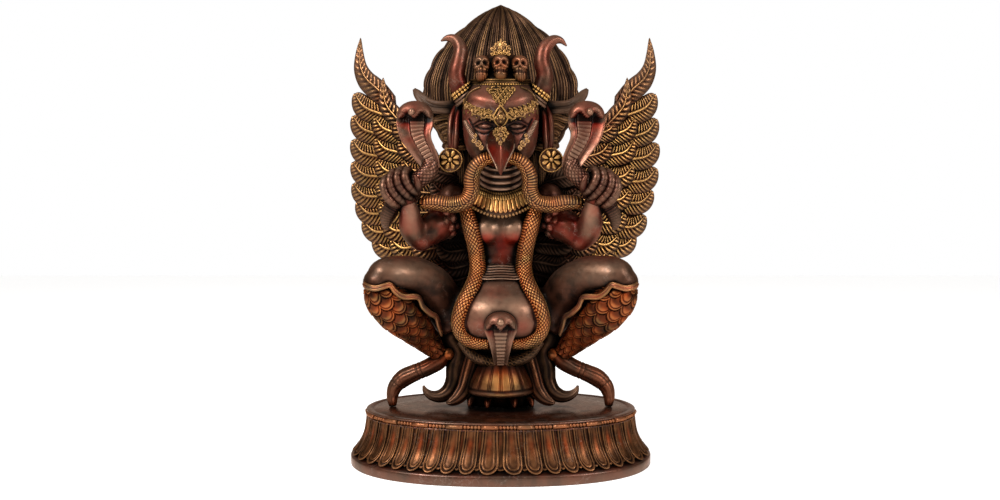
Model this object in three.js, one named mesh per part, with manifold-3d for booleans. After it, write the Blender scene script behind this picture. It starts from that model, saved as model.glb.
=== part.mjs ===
// A cast metal garuda: a horned, winged bird-headed figure that squats with its knees spread,
// a serpent in its beak, a cobra in each fist and a third at its belly, on an oval lotus plinth.
// Units are millimetres, +Z is up, the figure faces -Y, and the origin is under the plinth's middle.
import * as THREE from "three";
import { mergeVertices } from "three/addons/utils/BufferGeometryUtils.js";
import Module from "manifold-3d";

// Driving dimensions.
const FIGURE_HEIGHT = 305; // from the plinth's top to the tip of the hair
const PLINTH_HEIGHT = 39;
const PLINTH_TOP_DEPTH = 115; // front to back
const FOOT_HEIGHT = 7.5; // the plain slab under the petals
const FOOT_INSET = 2; // the slab stands back this far from the petal tips
const RIM_HEIGHT = 5.5; // the moulding round the top
const RIM_BULGE = 1.4; // how far the moulding stands out from the petals' roots
const PETAL_FLARE = 12; // how far the petal tips stand out from the top's edge
const PETAL_COUNT = 44;
const PETAL_RELIEF = 2.4; // height of a petal's crown over the gap beside it
const CLAW_MARGIN = 20.5; // from an outer claw's middle to the edge of the plinth's top
const SEAT_GAP = 0.3; // between the plinth's top and the figure's feet
const SEAT_DEPTH = 2; // how much is planed off the figure's underside to seat it
const WING_SHIFT = 3.5; // the wings sit this far to the right of the figure's axis

// The figure's points are written for this height and scaled to FIGURE_HEIGHT.
const CARVED_HEIGHT = 305;
const FIGURE_SCALE = FIGURE_HEIGHT / CARVED_HEIGHT;
const CLAW_PLACE = 80.3; // from the figure's axis to the middle of an outer claw

const LEFT = -1;
const RIGHT = 1;
const FRONT = new THREE.Vector3(0, -1, 0);
const UP = new THREE.Vector3(0, 0, 1);

const wasm = await Module();
wasm.setup();

// A closed geometry as a solid, turned so that its faces point out.
function solidOf(geometry) {
  const bare = geometry.clone();
  for (const name of Object.keys(bare.attributes)) {
    if (name !== "position") bare.deleteAttribute(name);
  }
  const merged = mergeVertices(bare, 1e-4);
  const triVerts = new Uint32Array(merged.index.array);
  const vertProperties = merged.attributes.position.array;
  if (signedVolume(vertProperties, triVerts) < 0) {
    for (let i = 0; i < triVerts.length; i += 3) {
      [triVerts[i + 1], triVerts[i + 2]] = [triVerts[i + 2], triVerts[i + 1]];
    }
  }
  return new wasm.Manifold(new wasm.Mesh({ numProp: 3, vertProperties, triVerts }));
}

function signedVolume(positions, triVerts) {
  const corner = (k) => new THREE.Vector3().fromArray(positions, 3 * triVerts[k]);
  let total = 0;
  for (let i = 0; i < triVerts.length; i += 3) {
    total += corner(i).dot(corner(i + 1).cross(corner(i + 2)));
  }
  return total;
}

function geometryOf(solid) {
  const mesh = solid.getMesh();
  const geometry = new THREE.BufferGeometry();
  geometry.setAttribute("position", new THREE.BufferAttribute(new Float32Array(mesh.vertProperties), 3));
  geometry.setIndex(new THREE.BufferAttribute(new Uint32Array(mesh.triVerts), 1));
  geometry.computeVertexNormals();
  return geometry;
}

function joined(solids) {
  return solids.reduce((whole, piece) => whole.add(piece));
}

// A closed surface over a row of rings. A ring is a list of points with its outline drawn flat.
function skinned(rings) {
  const sides = rings[0].points.length;
  const index = [];
  for (let i = 0; i + 1 < rings.length; i++) {
    for (let j = 0; j < sides; j++) {
      const k = (j + 1) % sides;
      const [a, b, c, d] = [i * sides + j, i * sides + k, (i + 1) * sides + j, (i + 1) * sides + k];
      index.push(a, b, d, a, d, c);
    }
  }
  const last = rings.length - 1;
  index.push(...cap(rings[0].flat, 0, true), ...cap(rings[last].flat, last * sides, false));
  const geometry = new THREE.BufferGeometry().setFromPoints(rings.flatMap((ring) => ring.points));
  geometry.setIndex(index);
  return geometry;
}

// The triangles that fill an outline, wound as it is or the other way.
function cap(outline, offset, reversed) {
  const wound = (points) => Math.sign(THREE.ShapeUtils.area(points));
  return THREE.ShapeUtils.triangulateShape(outline, []).flatMap(([a, b, c]) => {
    const asOutline = wound([outline[a], outline[b], outline[c]]) === wound(outline);
    return asOutline === reversed ? [offset + a, offset + c, offset + b] : [offset + a, offset + b, offset + c];
  });
}

const round = (angle) => [Math.cos(angle), Math.sin(angle)];

// A section squarer than an ellipse: power 2 is an ellipse, and more is squarer.
const squarish = (power) => (angle) =>
  round(angle).map((v) => Math.sign(v) * Math.abs(v) ** (2 / power));

// A blade's section: thin edges, a ridge in front and a flat back.
const bladed = (angle) => {
  const [across, deep] = round(angle);
  return [across, deep > 0 ? deep * deep : 0.7 * deep];
};

// A cobra's hood: full behind, hollow in front.
const hooded = (angle) => {
  const [across, deep] = round(angle);
  return [across, deep > 0 ? 0.25 * deep - 0.9 * across * across + 0.5 : deep];
};

// A form along a smooth line. Each station is [x, y, z, half width, half depth]; the depth is
// measured towards facing, and equals the width where it is left out.
function lofted(stations, { sides = 8, steps = 1, section = round, facing = FRONT, relief = () => 0 } = {}) {
  const line = new THREE.CatmullRomCurve3(stations.map(([x, y, z]) => new THREE.Vector3(x, y, z)));
  const sizes = new THREE.CatmullRomCurve3(stations.map(([, , , w, d = w]) => new THREE.Vector3(w, d, 0)));
  const count = (stations.length - 1) * steps;
  const rings = Array.from({ length: count + 1 }, (_, i) => {
    const t = i / count;
    const along = line.getTangent(t);
    const deep = facing.clone().addScaledVector(along, -facing.dot(along)).normalize();
    const wide = new THREE.Vector3().crossVectors(along, deep);
    const size = sizes.getPoint(t);
    const flat = Array.from({ length: sides }, (_, j) => {
      const angle = (2 * Math.PI * j) / sides;
      const [across, forward] = section(angle);
      return new THREE.Vector2(across * size.x, forward * size.y).multiplyScalar(1 + relief(t, angle));
    });
    const points = flat.map(({ x, y }) => line.getPoint(t).addScaledVector(wide, x).addScaledVector(deep, y));
    return { points, flat };
  });
  return solidOf(skinned(rings));
}

// A rounded lump with its middle at [x, y, z] and its half sizes [a, b, c].
function lump([x, y, z], [a, b, c], across = 10, down = 6) {
  const ball = new THREE.SphereGeometry(1, across, down).scale(a, b, c).translate(x, y, z);
  return solidOf(ball);
}

// The same stations on the figure's left or right, from ones written for its left.
const onSide = (side, stations) => stations.map(([x, ...rest]) => [side * x, ...rest]);

// Body.

function torso() {
  const trunk = lofted(
    [
      [0, 0, 156, 17, 13],
      [0, 4, 146.5, 28, 17],
      [0, 4, 135.5, 30, 18],
      [0, 5, 124, 26.5, 17],
      [0, 6, 109, 19.5, 14.5],
      [0, -2, 90.5, 26.5, 22.5],
      [0, -8, 76, 34, 28],
      [0, -8, 62, 34, 27.5],
      [0, -3, 48, 28, 24],
      [0, 3, 38, 21, 19],
      [0, 6, 26, 18, 14],
      [0, 7, -SEAT_DEPTH, 22, 16],
    ],
    { sides: 10 },
  );
  const sash = lofted(
    [
      [0, 5, 106.5, 21, 16],
      [0, 3, 98.5, 23, 18.5],
    ],
    { sides: 10 },
  );
  const rump = lofted(
    [
      [0, 14, 100, 30, 10],
      [0, 18, 78, 46, 13],
      [0, 16, 50, 46, 14],
      [0, 10, 30, 33, 13],
      [0, 9, 14, 20, 12],
    ],
    { sides: 6 },
  );
  const breasts = [LEFT, RIGHT].map((side) => lump([side * 10.5, -10, 133], [10.5, 6, 10.5], 6, 4));
  return joined([trunk, sash, rump, ...breasts]);
}

const NECK_RINGS = 4;
const COLLAR_PETALS = 14;

function neck() {
  const throat = lofted(
    [
      [0, 0, 154, 17, 15],
      [0, -5, 162, 15.6, 14],
      [0, -13, 173, 15.3, 14],
      [0, -17, 183, 17, 15],
    ],
    { sides: 8, steps: 3, relief: (t) => 0.06 * Math.cos(3 * Math.PI * NECK_RINGS * t) },
  );
  const collar = lofted(
    [
      [0, -4, 160, 19, 16],
      [0, 0, 150.5, 25.5, 21.5],
      [0, 1.5, 144.5, 27.5, 23.5],
      [0, 2, 142, 25, 21],
    ],
    { sides: COLLAR_PETALS },
  );
  return joined([throat, collar]);
}

function arm(side) {
  const upper = lofted(
    onSide(side, [
      [25, 7, 150.5, 9],
      [33, 5, 145.5, 12],
      [42.5, -1, 136.5, 11],
      [51, -9, 128.5, 10.5],
      [57, -14, 123.5, 8],
    ]),
    { sides: 6 },
  );
  const fore = lofted(
    onSide(side, [
      [59, -13, 117.5, 5],
      [61.5, -15, 123, 9.4],
      [63.5, -19, 131.5, 9.2],
      [65, -24, 142, 7.7],
      [66, -28, 150, 6.4],
      [68, -31, 157, 7],
    ]),
    { sides: 6 },
  );
  const armlet = lofted(
    onSide(side, [
      [42, -0.5, 137, 12.2],
      [45, -3.5, 134, 12.2],
    ]),
    { sides: 6 },
  );
  return joined([upper, fore, armlet]);
}

const FINGERS = 4;
const FINGER_STEP = [3.9, -2.4]; // from one finger to the next, outwards and up

function fist(side) {
  const palm = lump([side * 71, -31.5, 162], [12, 7.5, 11.5], 7, 5);
  const fingers = Array.from({ length: FINGERS }, (_, i) => {
    const [out, up] = FINGER_STEP.map((pitch) => pitch * i);
    return lofted(
      onSide(side, [
        [70 + out, -31, 173 + up, 2.2],
        [68 + out, -36.5, 166 + up, 2.8],
        [64 + out, -34.5, 157 + up, 2.3],
      ]),
      { sides: 4 },
    );
  });
  const thumb = lofted(
    onSide(side, [
      [62, -28, 156, 3],
      [58, -34, 161, 3],
      [59, -37, 167, 2.4],
    ]),
    { sides: 4 },
  );
  return joined([palm, ...fingers, thumb]);
}

// Legs.

const CALF_ROWS = 5;
const CALF_SCALES = 4;

// Overlapping scales: each row swells towards its lower edge and is set half a scale round.
function scaled(t, angle) {
  const row = t * CALF_ROWS;
  const part = row - Math.floor(row);
  const scallop = Math.cos(CALF_SCALES * angle + Math.PI * Math.floor(row));
  return 0.14 * part + 0.03 * scallop;
}

function leg(side) {
  const thigh = lofted(
    onSide(side, [
      [34, 4, 58, 13],
      [43.5, 2, 74, 15.5],
      [50, -6, 87, 16.5],
      [61, -16, 95, 15.5],
      [72, -26, 97.5, 14.5],
      [84, -33, 96, 13.5],
      [92.5, -36, 91.5, 8.5],
    ]),
    { sides: 8 },
  );
  const hem = lofted(
    onSide(side, [
      [94.5, -40, 90.5, 2],
      [86, -47, 90.5, 2.6],
      [76, -46, 92, 2.6],
      [70, -42, 86.5, 2.6],
      [59, -34, 82, 2.6],
      [50.5, -26, 74, 2.6],
      [43.5, -15, 61, 2],
    ]),
    { sides: 4 },
  );
  const calf = lofted(
    onSide(side, [
      [87, -34, 91, 12],
      [81, -31, 83.5, 14],
      [72.5, -26, 72.5, 14],
      [63.5, -17, 61, 11.8],
      [55, -8, 50, 9],
      [45, -3, 38.5, 5.6],
    ]),
    { sides: 2 * CALF_SCALES, steps: 2, relief: scaled },
  );
  const spur = lump([side * 39.5, -2, 39], [4.8, 4.8, 4.8], 5, 4);
  const foot = lofted(
    onSide(side, [
      [43.5, 0, 36, 6.4, 8],
      [55, 1, 27, 5.6, 7],
      [65.5, 1, 23.4, 5.4, 7],
      [73.8, 1, 20, 5.9, 7],
      [79.5, 0, 14, 5, 6],
      [80.8, -2, 7, 4, 5],
      [CLAW_PLACE, -4, -SEAT_DEPTH, 2.8, 4],
    ]),
    { sides: 6 },
  );
  return joined([thigh, hem, calf, spur, foot]);
}

// Tail: two plumes that curl out at the sides, an apron in the middle and claws under it.
function tail() {
  const sides = [LEFT, RIGHT].flatMap((side) => [
    lofted(
      onSide(side, [
        [28, 10, 48, 11],
        [32.5, 3, 30, 8],
        [34.5, 1, 17, 7],
        [39.5, -1, 10, 6],
        [45.5, -3, 7, 4.4],
        [52, -4, 8.5, 3],
        [57.2, -5, 14.5, 0.8],
      ]),
      { sides: 6 },
    ),
    lofted(
      onSide(side, [
        [19, 0, 38, 7.5, 6],
        [24.5, -5, 20, 6.7, 4],
        [28, -8, 11.5, 5.8, 3.4],
        [33, -10, 6, 4.4, 2.4],
        [39.5, -12, 3.5, 1.2],
      ]),
      { sides: 5 },
    ),
    ...[20, 9].map((out, i) =>
      lofted(
        onSide(side, [
          [out - 2, 1 - 5 * i, 16, 4.6],
          [out, -4 - 5 * i, -SEAT_DEPTH, 3],
        ]),
        { sides: 5 },
      ),
    ),
  ]);
  const apron = lofted(
    [
      [0, -10, 40, 11, 12],
      [0, -9, 29, 17.5, 16],
      [0, -8, 19.5, 22, 19],
      [0, -7, 13, 23.2, 20],
      [0, -7, 10, 20.5, 17.5],
    ],
    { sides: 12 },
  );
  return joined([apron, ...sides]);
}

// Head.

function head() {
  const skull = lofted(
    [
      [0, -16, 181, 14, 13],
      [0, -17, 187.5, 23, 20],
      [0, -18, 197, 26.7, 23.5],
      [0, -18, 210, 27.8, 25],
      [0, -17, 222, 27.8, 25.5],
      [0, -16, 232, 24.6, 23],
      [0, -15, 241, 18.5, 18],
    ],
    { sides: 12, section: squarish(2.4) },
  );
  const band = lofted(
    [
      [0, -17, 232.5, 21.5, 22],
      [0, -17, 240, 21.5, 22],
    ],
    { sides: 12 },
  );
  const beak = lofted(
    [
      [0, -36, 201, 6.5, 7],
      [0, -42, 193, 11.5, 8.5],
      [0, -47, 182.5, 10.3, 8],
      [0, -51, 173, 5.4, 6],
      [0, -54, 165, 1, 1.5],
    ],
    { sides: 6 },
  );
  const jaw = lofted(
    [
      [0, -22, 179.5, 12, 5],
      [0, -34, 177, 8, 4],
      [0, -44, 174, 3, 2],
    ],
    { sides: 6, facing: UP },
  );
  const features = [LEFT, RIGHT].flatMap((side) => [
    lump([side * 12, -39.5, 199.5], [6.5, 4, 4], 6, 4),
    lofted(
      onSide(side, [
        [5, -43.5, 204.5, 3],
        [13.5, -42.5, 207.5, 4],
        [22, -36, 215, 3],
      ]),
      { sides: 4 },
    ),
    lofted(
      onSide(side, [
        [26, -31, 208, 2.6],
        [22, -34, 197.5, 3.2],
        [14.5, -36, 186, 3.2],
      ]),
      { sides: 4 },
    ),
  ]);
  const thirdEye = lump([0, -42.5, 205.5], [4, 3, 6], 6, 4);
  return joined([skull, band, beak, jaw, thirdEye, ...features]);
}

const SKULL_PITCH = 13.3;

function diadem() {
  const skulls = [-1, 0, 1].flatMap((place) => {
    const [x, y] = [SKULL_PITCH * place, -36 + 2 * Math.abs(place)];
    return [
      lump([x, y, 247.5], [5.5, 5, 5.3], 6, 4),
      lofted(
        [
          [x, y, 245, 4.2, 4],
          [x, y + 1, 237.5, 3.8, 3.4],
        ],
        { sides: 4 },
      ),
    ];
  });
  const finial = lofted(
    [
      [0, -32, 250, 4, 3],
      [0, -31.5, 256, 6.8, 2],
      [0, -30, 265, 1.5, 1.5],
    ],
    { sides: 4 },
  );
  const backing = lofted(
    [
      [0, -25, 236, 18, 9],
      [0, -23, 258, 9, 10],
    ],
    { sides: 8 },
  );
  return joined([...skulls, finial, backing]);
}

// The two horns differ: the left one curls flat at its tip, and the right one dips.
const LEFT_HORN = [
  [-23.5, -22, 224, 6.6],
  [-29.3, -24, 232, 6.6],
  [-31.3, -26, 240.5, 6],
  [-29.4, -27, 250, 5.3],
  [-28.4, -27, 258.5, 4.7],
  [-32.5, -27, 265, 3.4],
  [-42, -27, 264, 0.9],
];
const RIGHT_HORN = [
  [23.5, -22, 223, 6.6],
  [29.3, -24, 231, 6.6],
  [31.3, -26, 240, 6],
  [29.1, -27, 249.5, 5.4],
  [31, -27, 258.5, 4.8],
  [37.5, -27, 264, 3.5],
  [46.5, -27, 260.5, 0.9],
];

function horn(stations) {
  const shaft = lofted(stations, { sides: 6 });
  const [start, next] = stations;
  const ring = [0.6, 1].map((share) => start.map((v, k) => v + (next[k] - v) * share));
  const collar = lofted(ring.map(([x, y, z]) => [x, y, z, 8]), { sides: 6 });
  return joined([shaft, collar]);
}

const ROSETTE_SIDES = 12;

function ear(side) {
  const leaf = lofted(
    onSide(side, [
      [22.5, -13, 221, 7, 3],
      [33.5, -15, 223, 7.6, 3],
      [44.5, -14, 225.5, 6.6, 2.6],
      [54.5, -11, 228.5, 4.4, 2.2],
      [63.6, -7, 234, 0.8],
    ]),
    { sides: 6 },
  );
  const lobe = lofted(
    onSide(side, [
      [28, -15, 222, 4.4, 3],
      [33.3, -18, 210, 4.3, 3],
      [33.1, -20, 197, 3.6, 3],
      [34.5, -21, 185, 3.4, 3],
    ]),
    { sides: 4 },
  );
  const stud = lofted(
    onSide(side, [
      [36, -17, 180, 8.6],
      [36, -25.5, 180, 8.6],
    ]),
    { sides: ROSETTE_SIDES, facing: UP },
  );
  return joined([leaf, lobe, stud]);
}

// Hair: a spade-shaped mass behind the head, ridged into locks whose ends scallop its edge.
const LOCK_SIDES = 12;
const SCALLOPS = 8;

function hair() {
  const scallops = (t) => 0.05 * Math.abs(Math.sin(Math.PI * (SCALLOPS * t + 0.5)));
  const ridges = (angle) => 0.025 * Math.cos((LOCK_SIDES / 2) * angle);
  return lofted(
    [
      [0, 10, 172, 28, 11],
      [0, 10, 188, 35, 14],
      [0, 10, 204, 48, 16],
      [0, 10, 221, 56, 17],
      [0, 10, 239, 58, 17],
      [0, 10, 256, 52, 16],
      [0, 10, 272, 41, 14],
      [0, 10, 286, 25, 12],
      [0, 12, CARVED_HEIGHT, 1.5, 2],
    ],
    { sides: LOCK_SIDES, steps: 2, relief: (t, angle) => scallops(t) + ridges(angle) },
  );
}

// Serpents.

function beakSerpent() {
  const half = (side) =>
    onSide(side, [
      [54.5, -25, 149.5, 3.6],
      [46.5, -26, 149.5, 4.9],
      [34.7, -26, 148, 5.3],
      [24.7, -28, 150, 5.3],
      [20.8, -30, 157.5, 5.2],
      [20.3, -33, 166.5, 5],
      [16.7, -36, 174.5, 4.7],
      [11, -38, 178.5, 4.3],
    ]);
  const stations = [...half(LEFT), [0, -40, 180, 4], ...half(RIGHT).reverse()];
  return lofted(stations, { sides: 6 });
}

function bodySerpent(side) {
  return lofted(
    onSide(side, [
      [25.5, -8, 151, 4.8],
      [24.8, -12, 144, 5.2],
      [21.8, -13, 132, 5.4],
      [18.2, -11, 121, 5.4],
      [15.7, -8, 110, 5.5],
      [16, -12, 99, 5.5],
      [20.6, -21, 87, 5.8],
      [26.5, -26, 75, 6],
      [30, -25, 63.5, 6],
      [26.5, -24, 53, 5.6],
      [17.5, -24, 46.5, 5],
      [6, -28, 44, 4],
    ]),
    { sides: 6 },
  );
}

function tailLoop() {
  return lofted(
    [
      [-28.5, -15, 50, 4],
      [-18.5, -17, 39.5, 4.6],
      [0, -19, 34.5, 4.6],
      [18.5, -17, 39.5, 4.6],
      [28.5, -15, 50, 4],
    ],
    { sides: 5 },
  );
}

function bellyCobra() {
  const hood = lofted(
    [
      [0, -24, 34, 5, 5],
      [0, -31, 42.5, 5.8, 5],
      [0, -35, 49.5, 8.4, 4.4],
      [0, -38, 56.5, 11, 4],
      [0, -39.5, 64, 12, 4.4],
      [0, -39.5, 70.5, 8.2, 5],
      [0, -38, 74, 2.7, 4],
    ],
    { sides: 8, section: hooded },
  );
  const snout = lump([0, -43, 70], [4.6, 6, 4], 6, 4);
  return joined([hood, snout]);
}

function handCobra(side) {
  const body = lofted(
    onSide(side, [
      [81.5, -25, 134, 4.5],
      [76, -27, 143.5, 6],
      [68.5, -30, 158, 6],
      [57.5, -32, 169.5, 6],
      [52.6, -32, 177.5, 6.3],
    ]),
    { sides: 6 },
  );
  const hood = lofted(
    onSide(side, [
      [52, -32, 174, 6, 5],
      [54, -32, 184, 8.1, 5],
      [57, -31, 192.5, 10.3, 4],
      [60, -29, 201, 12.8, 3.6],
      [61.6, -28, 209, 13.8, 4],
      [62, -27, 216, 10.6, 5],
      [62, -26, 221.3, 3.6, 4],
    ]),
    { sides: 8, section: hooded },
  );
  const snout = lump([side * 62, -31, 214.5], [5.3, 6.5, 4.3], 6, 4);
  return joined([body, hood, snout]);
}

// Wings.

const OUTER_FEATHERS = { [LEFT]: 8, [RIGHT]: 7 };
const WING_THICKNESS = 4;
const SCALLOP = 4.5; // how far a feather's end stands out from the notches beside it
const OVERLAP = 1.6; // how far a feather's lower edge stands proud of the feather below it

// How far back the wing lies at a distance out from the figure's axis: it sweeps back as it spreads.
const wingDepth = (out) => 15 + 0.12 * Math.max(0, out - 40) + 0.0028 * Math.max(0, out - 40) ** 2;

const wingLine = (points) => new THREE.CatmullRomCurve3(points.map(([out, up]) => new THREE.Vector3(out, 0, up)));

// Where the feathers' roots and the notches between their ends lie, as [out, up], from the lowest.
const WING_ROOTS = wingLine([
  [14, 76],
  [14, 100],
  [16, 130],
  [22, 160],
  [38, 186],
]);
const WING_EDGE = wingLine([
  [98, 115],
  [108, 127],
  [116, 145],
  [121, 166],
  [122.5, 188],
  [122, 208],
  [120.5, 228],
  [118, 250],
]);

// The rows of feathers, each by where its ends lie between root and edge, and how proud it stands.
const FEATHER_ROWS = [
  { end: 0.58, proud: 5 },
  { end: 0.79, proud: 3.2 },
  { end: 1, proud: 1.4 },
];

// One section of the wing from its root to its edge and back, share of the way up the wing, and
// within one feather at a place from its lower edge, 0, to its upper one, 1.
function wingRing(side, share, place) {
  const root = WING_ROOTS.getPointAt(share);
  const edge = WING_EDGE.getPointAt(share);
  const span = root.distanceTo(edge);
  const swell = SCALLOP * Math.sin(Math.PI * place);
  const lift = OVERLAP * (1 - place);
  const at = (part, proud) => {
    const { x, z } = root.clone().lerp(edge, part);
    return new THREE.Vector3(side * x + WING_SHIFT, wingDepth(x) - proud, z);
  };
  const front = FEATHER_ROWS.flatMap(({ end, proud }, row) => {
    const start = row ? FEATHER_ROWS[row - 1].end + swell / span : 0;
    return [at(start, proud * (row ? 0.6 : 1.4)), at(end + swell / span, proud + lift)];
  });
  const tip = 1 + swell / span;
  const back = [at(tip, -1), at(0.5, -WING_THICKNESS / 2), at(0, -WING_THICKNESS)];
  const points = [...front, ...back];
  return { points, flat: points.map(({ x, y }) => new THREE.Vector2(x, y)) };
}

// A long feather of its own, by stations of [out, up, half width].
function quill(side, stations, proud) {
  return lofted(
    stations.map(([out, up, halfWidth]) => [side * out, wingDepth(out) - proud, up, halfWidth, 3]),
    { sides: 4, section: bladed },
  ).translate([WING_SHIFT, 0, 0]);
}

function wing(side) {
  const count = OUTER_FEATHERS[side];
  const places = [0.04, 0.5, 0.96];
  const rings = Array.from({ length: count }, (_, i) =>
    places.map((place) => wingRing(side, (i + place) / count, place)),
  ).flat();
  const primary = quill(
    side,
    [
      [116.2, 288, 0.8],
      [116.3, 272, 4.8],
      [112.5, 258, 9.5],
      [103, 246, 11],
      [86, 232, 9],
    ],
    1,
  );
  const shoulder = quill(
    side,
    [
      [94.5, 251, 0.8],
      [93, 236, 5.2],
      [88, 225, 7.6],
      [78, 208, 8],
    ],
    3.5,
  );
  return joined([solidOf(skinned(rings)), primary, shoulder]);
}

function figure() {
  const whole = joined([
    torso(),
    neck(),
    head(),
    diadem(),
    hair(),
    horn(LEFT_HORN),
    horn(RIGHT_HORN),
    beakSerpent(),
    tailLoop(),
    bellyCobra(),
    tail(),
    ...[LEFT, RIGHT].flatMap((side) => [
      arm(side),
      fist(side),
      leg(side),
      ear(side),
      wing(side),
      bodySerpent(side),
      handCobra(side),
    ]),
  ]);
  const reach = 2 * CARVED_HEIGHT;
  const below = new THREE.BoxGeometry(reach, reach, reach).translate(0, 0, -reach / 2);
  return whole.subtract(solidOf(below));
}

// Plinth: an oval lotus whose petals hang from a reeded rim over a plain foot.

// The plinth's outline at a half width and half depth, as points that are evenly spaced round it.
function oval(halfWidth, halfDepth, power, count) {
  const fine = Array.from({ length: 720 }, (_, i) => {
    const [across, deep] = squarish(power)((Math.PI * i) / 360);
    return new THREE.Vector3(across * halfWidth, deep * halfDepth, 0);
  });
  const line = new THREE.CatmullRomCurve3(fine, true);
  line.arcLengthDivisions = fine.length;
  return line.getSpacedPoints(count).slice(0, count);
}

const TOP_POWER = 2.14; // the top is nearly an ellipse
const FOOT_POWER = 2.32; // the foot is a little squarer
const SAMPLES = 2; // points across one petal: its crown and the groove beside it

function plinth() {
  const halfWidth = CLAW_PLACE * FIGURE_SCALE + CLAW_MARGIN;
  const halfDepth = PLINTH_TOP_DEPTH / 2;
  const neckHeight = PLINTH_HEIGHT - RIM_HEIGHT;
  const petalSpan = neckHeight - FOOT_HEIGHT;
  // Each level is [height, how far it stands out from the top's edge, petal relief].
  const levels = [
    [0, PETAL_FLARE - FOOT_INSET, 0],
    [FOOT_HEIGHT, PETAL_FLARE - FOOT_INSET, 0],
    [FOOT_HEIGHT + 0.1, PETAL_FLARE, 1],
    [FOOT_HEIGHT + 0.35 * petalSpan, 0.45 * PETAL_FLARE, 1],
    [neckHeight, -RIM_BULGE, 0.4],
    [neckHeight + 0.5 * RIM_HEIGHT, 0, 0],
    [PLINTH_HEIGHT, -0.5 * RIM_BULGE, 0],
  ];
  const rings = levels.map(([height, out, relief]) => {
    const power = THREE.MathUtils.lerp(FOOT_POWER, TOP_POWER, height / PLINTH_HEIGHT);
    const points = oval(halfWidth + out, halfDepth + out, power, PETAL_COUNT * SAMPLES);
    points.forEach((point, i) => {
      const away = new THREE.Vector3(point.x, (point.y * halfWidth) / halfDepth, 0).normalize();
      const sunk = i % SAMPLES === 0 ? PETAL_RELIEF * relief : 0;
      point.addScaledVector(away, -sunk).setZ(height);
    });
    return { points, flat: points.map(({ x, y }) => new THREE.Vector2(x, y)) };
  });
  return solidOf(skinned(rings));
}

const bronze = new THREE.MeshStandardMaterial({ color: 0x4a2418, roughness: 0.38, metalness: 0.75 });
const plinthBronze = new THREE.MeshStandardMaterial({ color: 0x522a1a, roughness: 0.4, metalness: 0.75 });

const garuda = new THREE.Group();

const plinthMesh = new THREE.Mesh(geometryOf(plinth()), plinthBronze);
plinthMesh.name = "plinth";
garuda.add(plinthMesh);

const figureMesh = new THREE.Mesh(geometryOf(figure()), bronze);
figureMesh.name = "garuda_figure";
figureMesh.scale.setScalar(FIGURE_SCALE);
figureMesh.position.z = PLINTH_HEIGHT + SEAT_GAP;
garuda.add(figureMesh);

export default garuda;
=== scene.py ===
# A cast bronze garuda that squats on a lotus plinth: its carving, patina, light and camera.
import math
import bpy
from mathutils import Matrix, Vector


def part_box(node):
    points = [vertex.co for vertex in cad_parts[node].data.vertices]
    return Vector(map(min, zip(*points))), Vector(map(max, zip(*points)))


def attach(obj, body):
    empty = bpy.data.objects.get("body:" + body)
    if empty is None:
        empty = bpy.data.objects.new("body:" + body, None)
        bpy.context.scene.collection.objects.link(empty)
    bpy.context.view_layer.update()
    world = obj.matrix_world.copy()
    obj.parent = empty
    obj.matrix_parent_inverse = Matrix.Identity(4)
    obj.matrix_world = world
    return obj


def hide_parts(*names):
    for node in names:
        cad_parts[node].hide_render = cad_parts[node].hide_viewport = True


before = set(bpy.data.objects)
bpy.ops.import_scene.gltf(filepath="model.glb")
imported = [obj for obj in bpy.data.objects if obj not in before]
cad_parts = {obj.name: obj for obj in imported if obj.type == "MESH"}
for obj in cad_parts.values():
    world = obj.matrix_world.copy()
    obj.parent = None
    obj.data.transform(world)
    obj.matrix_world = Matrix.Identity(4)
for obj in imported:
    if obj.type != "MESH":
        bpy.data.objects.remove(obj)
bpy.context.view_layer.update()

from types import SimpleNamespace

import bpy
import numpy as np
import openvdb

# Places are written in figure millimetres: x across, y back, z up from the plinth's top.
MM = 0.001
CARVED_HEIGHT = 305.2
FIGURE_LOW, FIGURE_HIGH = (np.array(corner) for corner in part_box("garuda_figure"))
PLINTH_LOW, PLINTH_HIGH = (np.array(corner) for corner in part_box("plinth"))
FIGURE_SCALE = (FIGURE_HIGH[2] - FIGURE_LOW[2]) / CARVED_HEIGHT
PLINTH_HEIGHT = (PLINTH_HIGH[2] - PLINTH_LOW[2]) / MM
PLINTH_HALF_WIDTH = (PLINTH_HIGH[0] - PLINTH_LOW[0]) / 2 / MM
PLINTH_HALF_DEPTH = (PLINTH_HIGH[1] - PLINTH_LOW[1]) / 2 / MM
WING_SHIFT = 3.5

LEFT, RIGHT = -1, 1
FRONT = np.array([0.0, -1.0, 0.0])
UP = np.array([0.0, 0.0, 1.0])


# Lines and sections.


def spline(points, shares):
    """A smooth line through points, as a centripetal Catmull-Rom curve, at shares of its stations."""
    points = np.asarray(points, float)
    last = len(points) - 1
    padded = np.vstack([2 * points[0] - points[1], points, 2 * points[-1] - points[-2]])
    at = clamp(shares) * last
    k = np.minimum(at.astype(int), last - 1)
    w = (at - k)[:, None]
    a, b, c, d = (padded[k + i] for i in range(4))
    hops = (b - a, c - b, d - c)
    ab, bc, cd = (np.maximum(np.sum(hop**2, 1) ** 0.25, 1e-3)[:, None] for hop in hops)
    start = ((b - a) / ab - (c - a) / (ab + bc) + (c - b) / bc) * bc
    end = ((c - b) / bc - (d - b) / (bc + cd) + (d - c) / cd) * bc
    return b + start * w + (3 * (c - b) - 2 * start - end) * w**2 + (2 * (b - c) + start + end) * w**3


def lengths(line):
    """The length along a line up to each of its points."""
    return np.concatenate([[0], np.cumsum(np.linalg.norm(np.diff(line, axis=0), axis=1))])


def even_shares(points, step):
    """Shares that lie about a step apart along a smooth line, and the length up to each."""
    dense = np.linspace(0, 1, 40 * len(points))
    line = spline(points, dense)
    length = lengths(line[:, :3])
    along = np.linspace(0, length[-1], max(5, int(length[-1] / step) + 2))
    return np.interp(along, length, dense), along


def ellipse(angle):
    return np.cos(angle), np.sin(angle)


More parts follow.
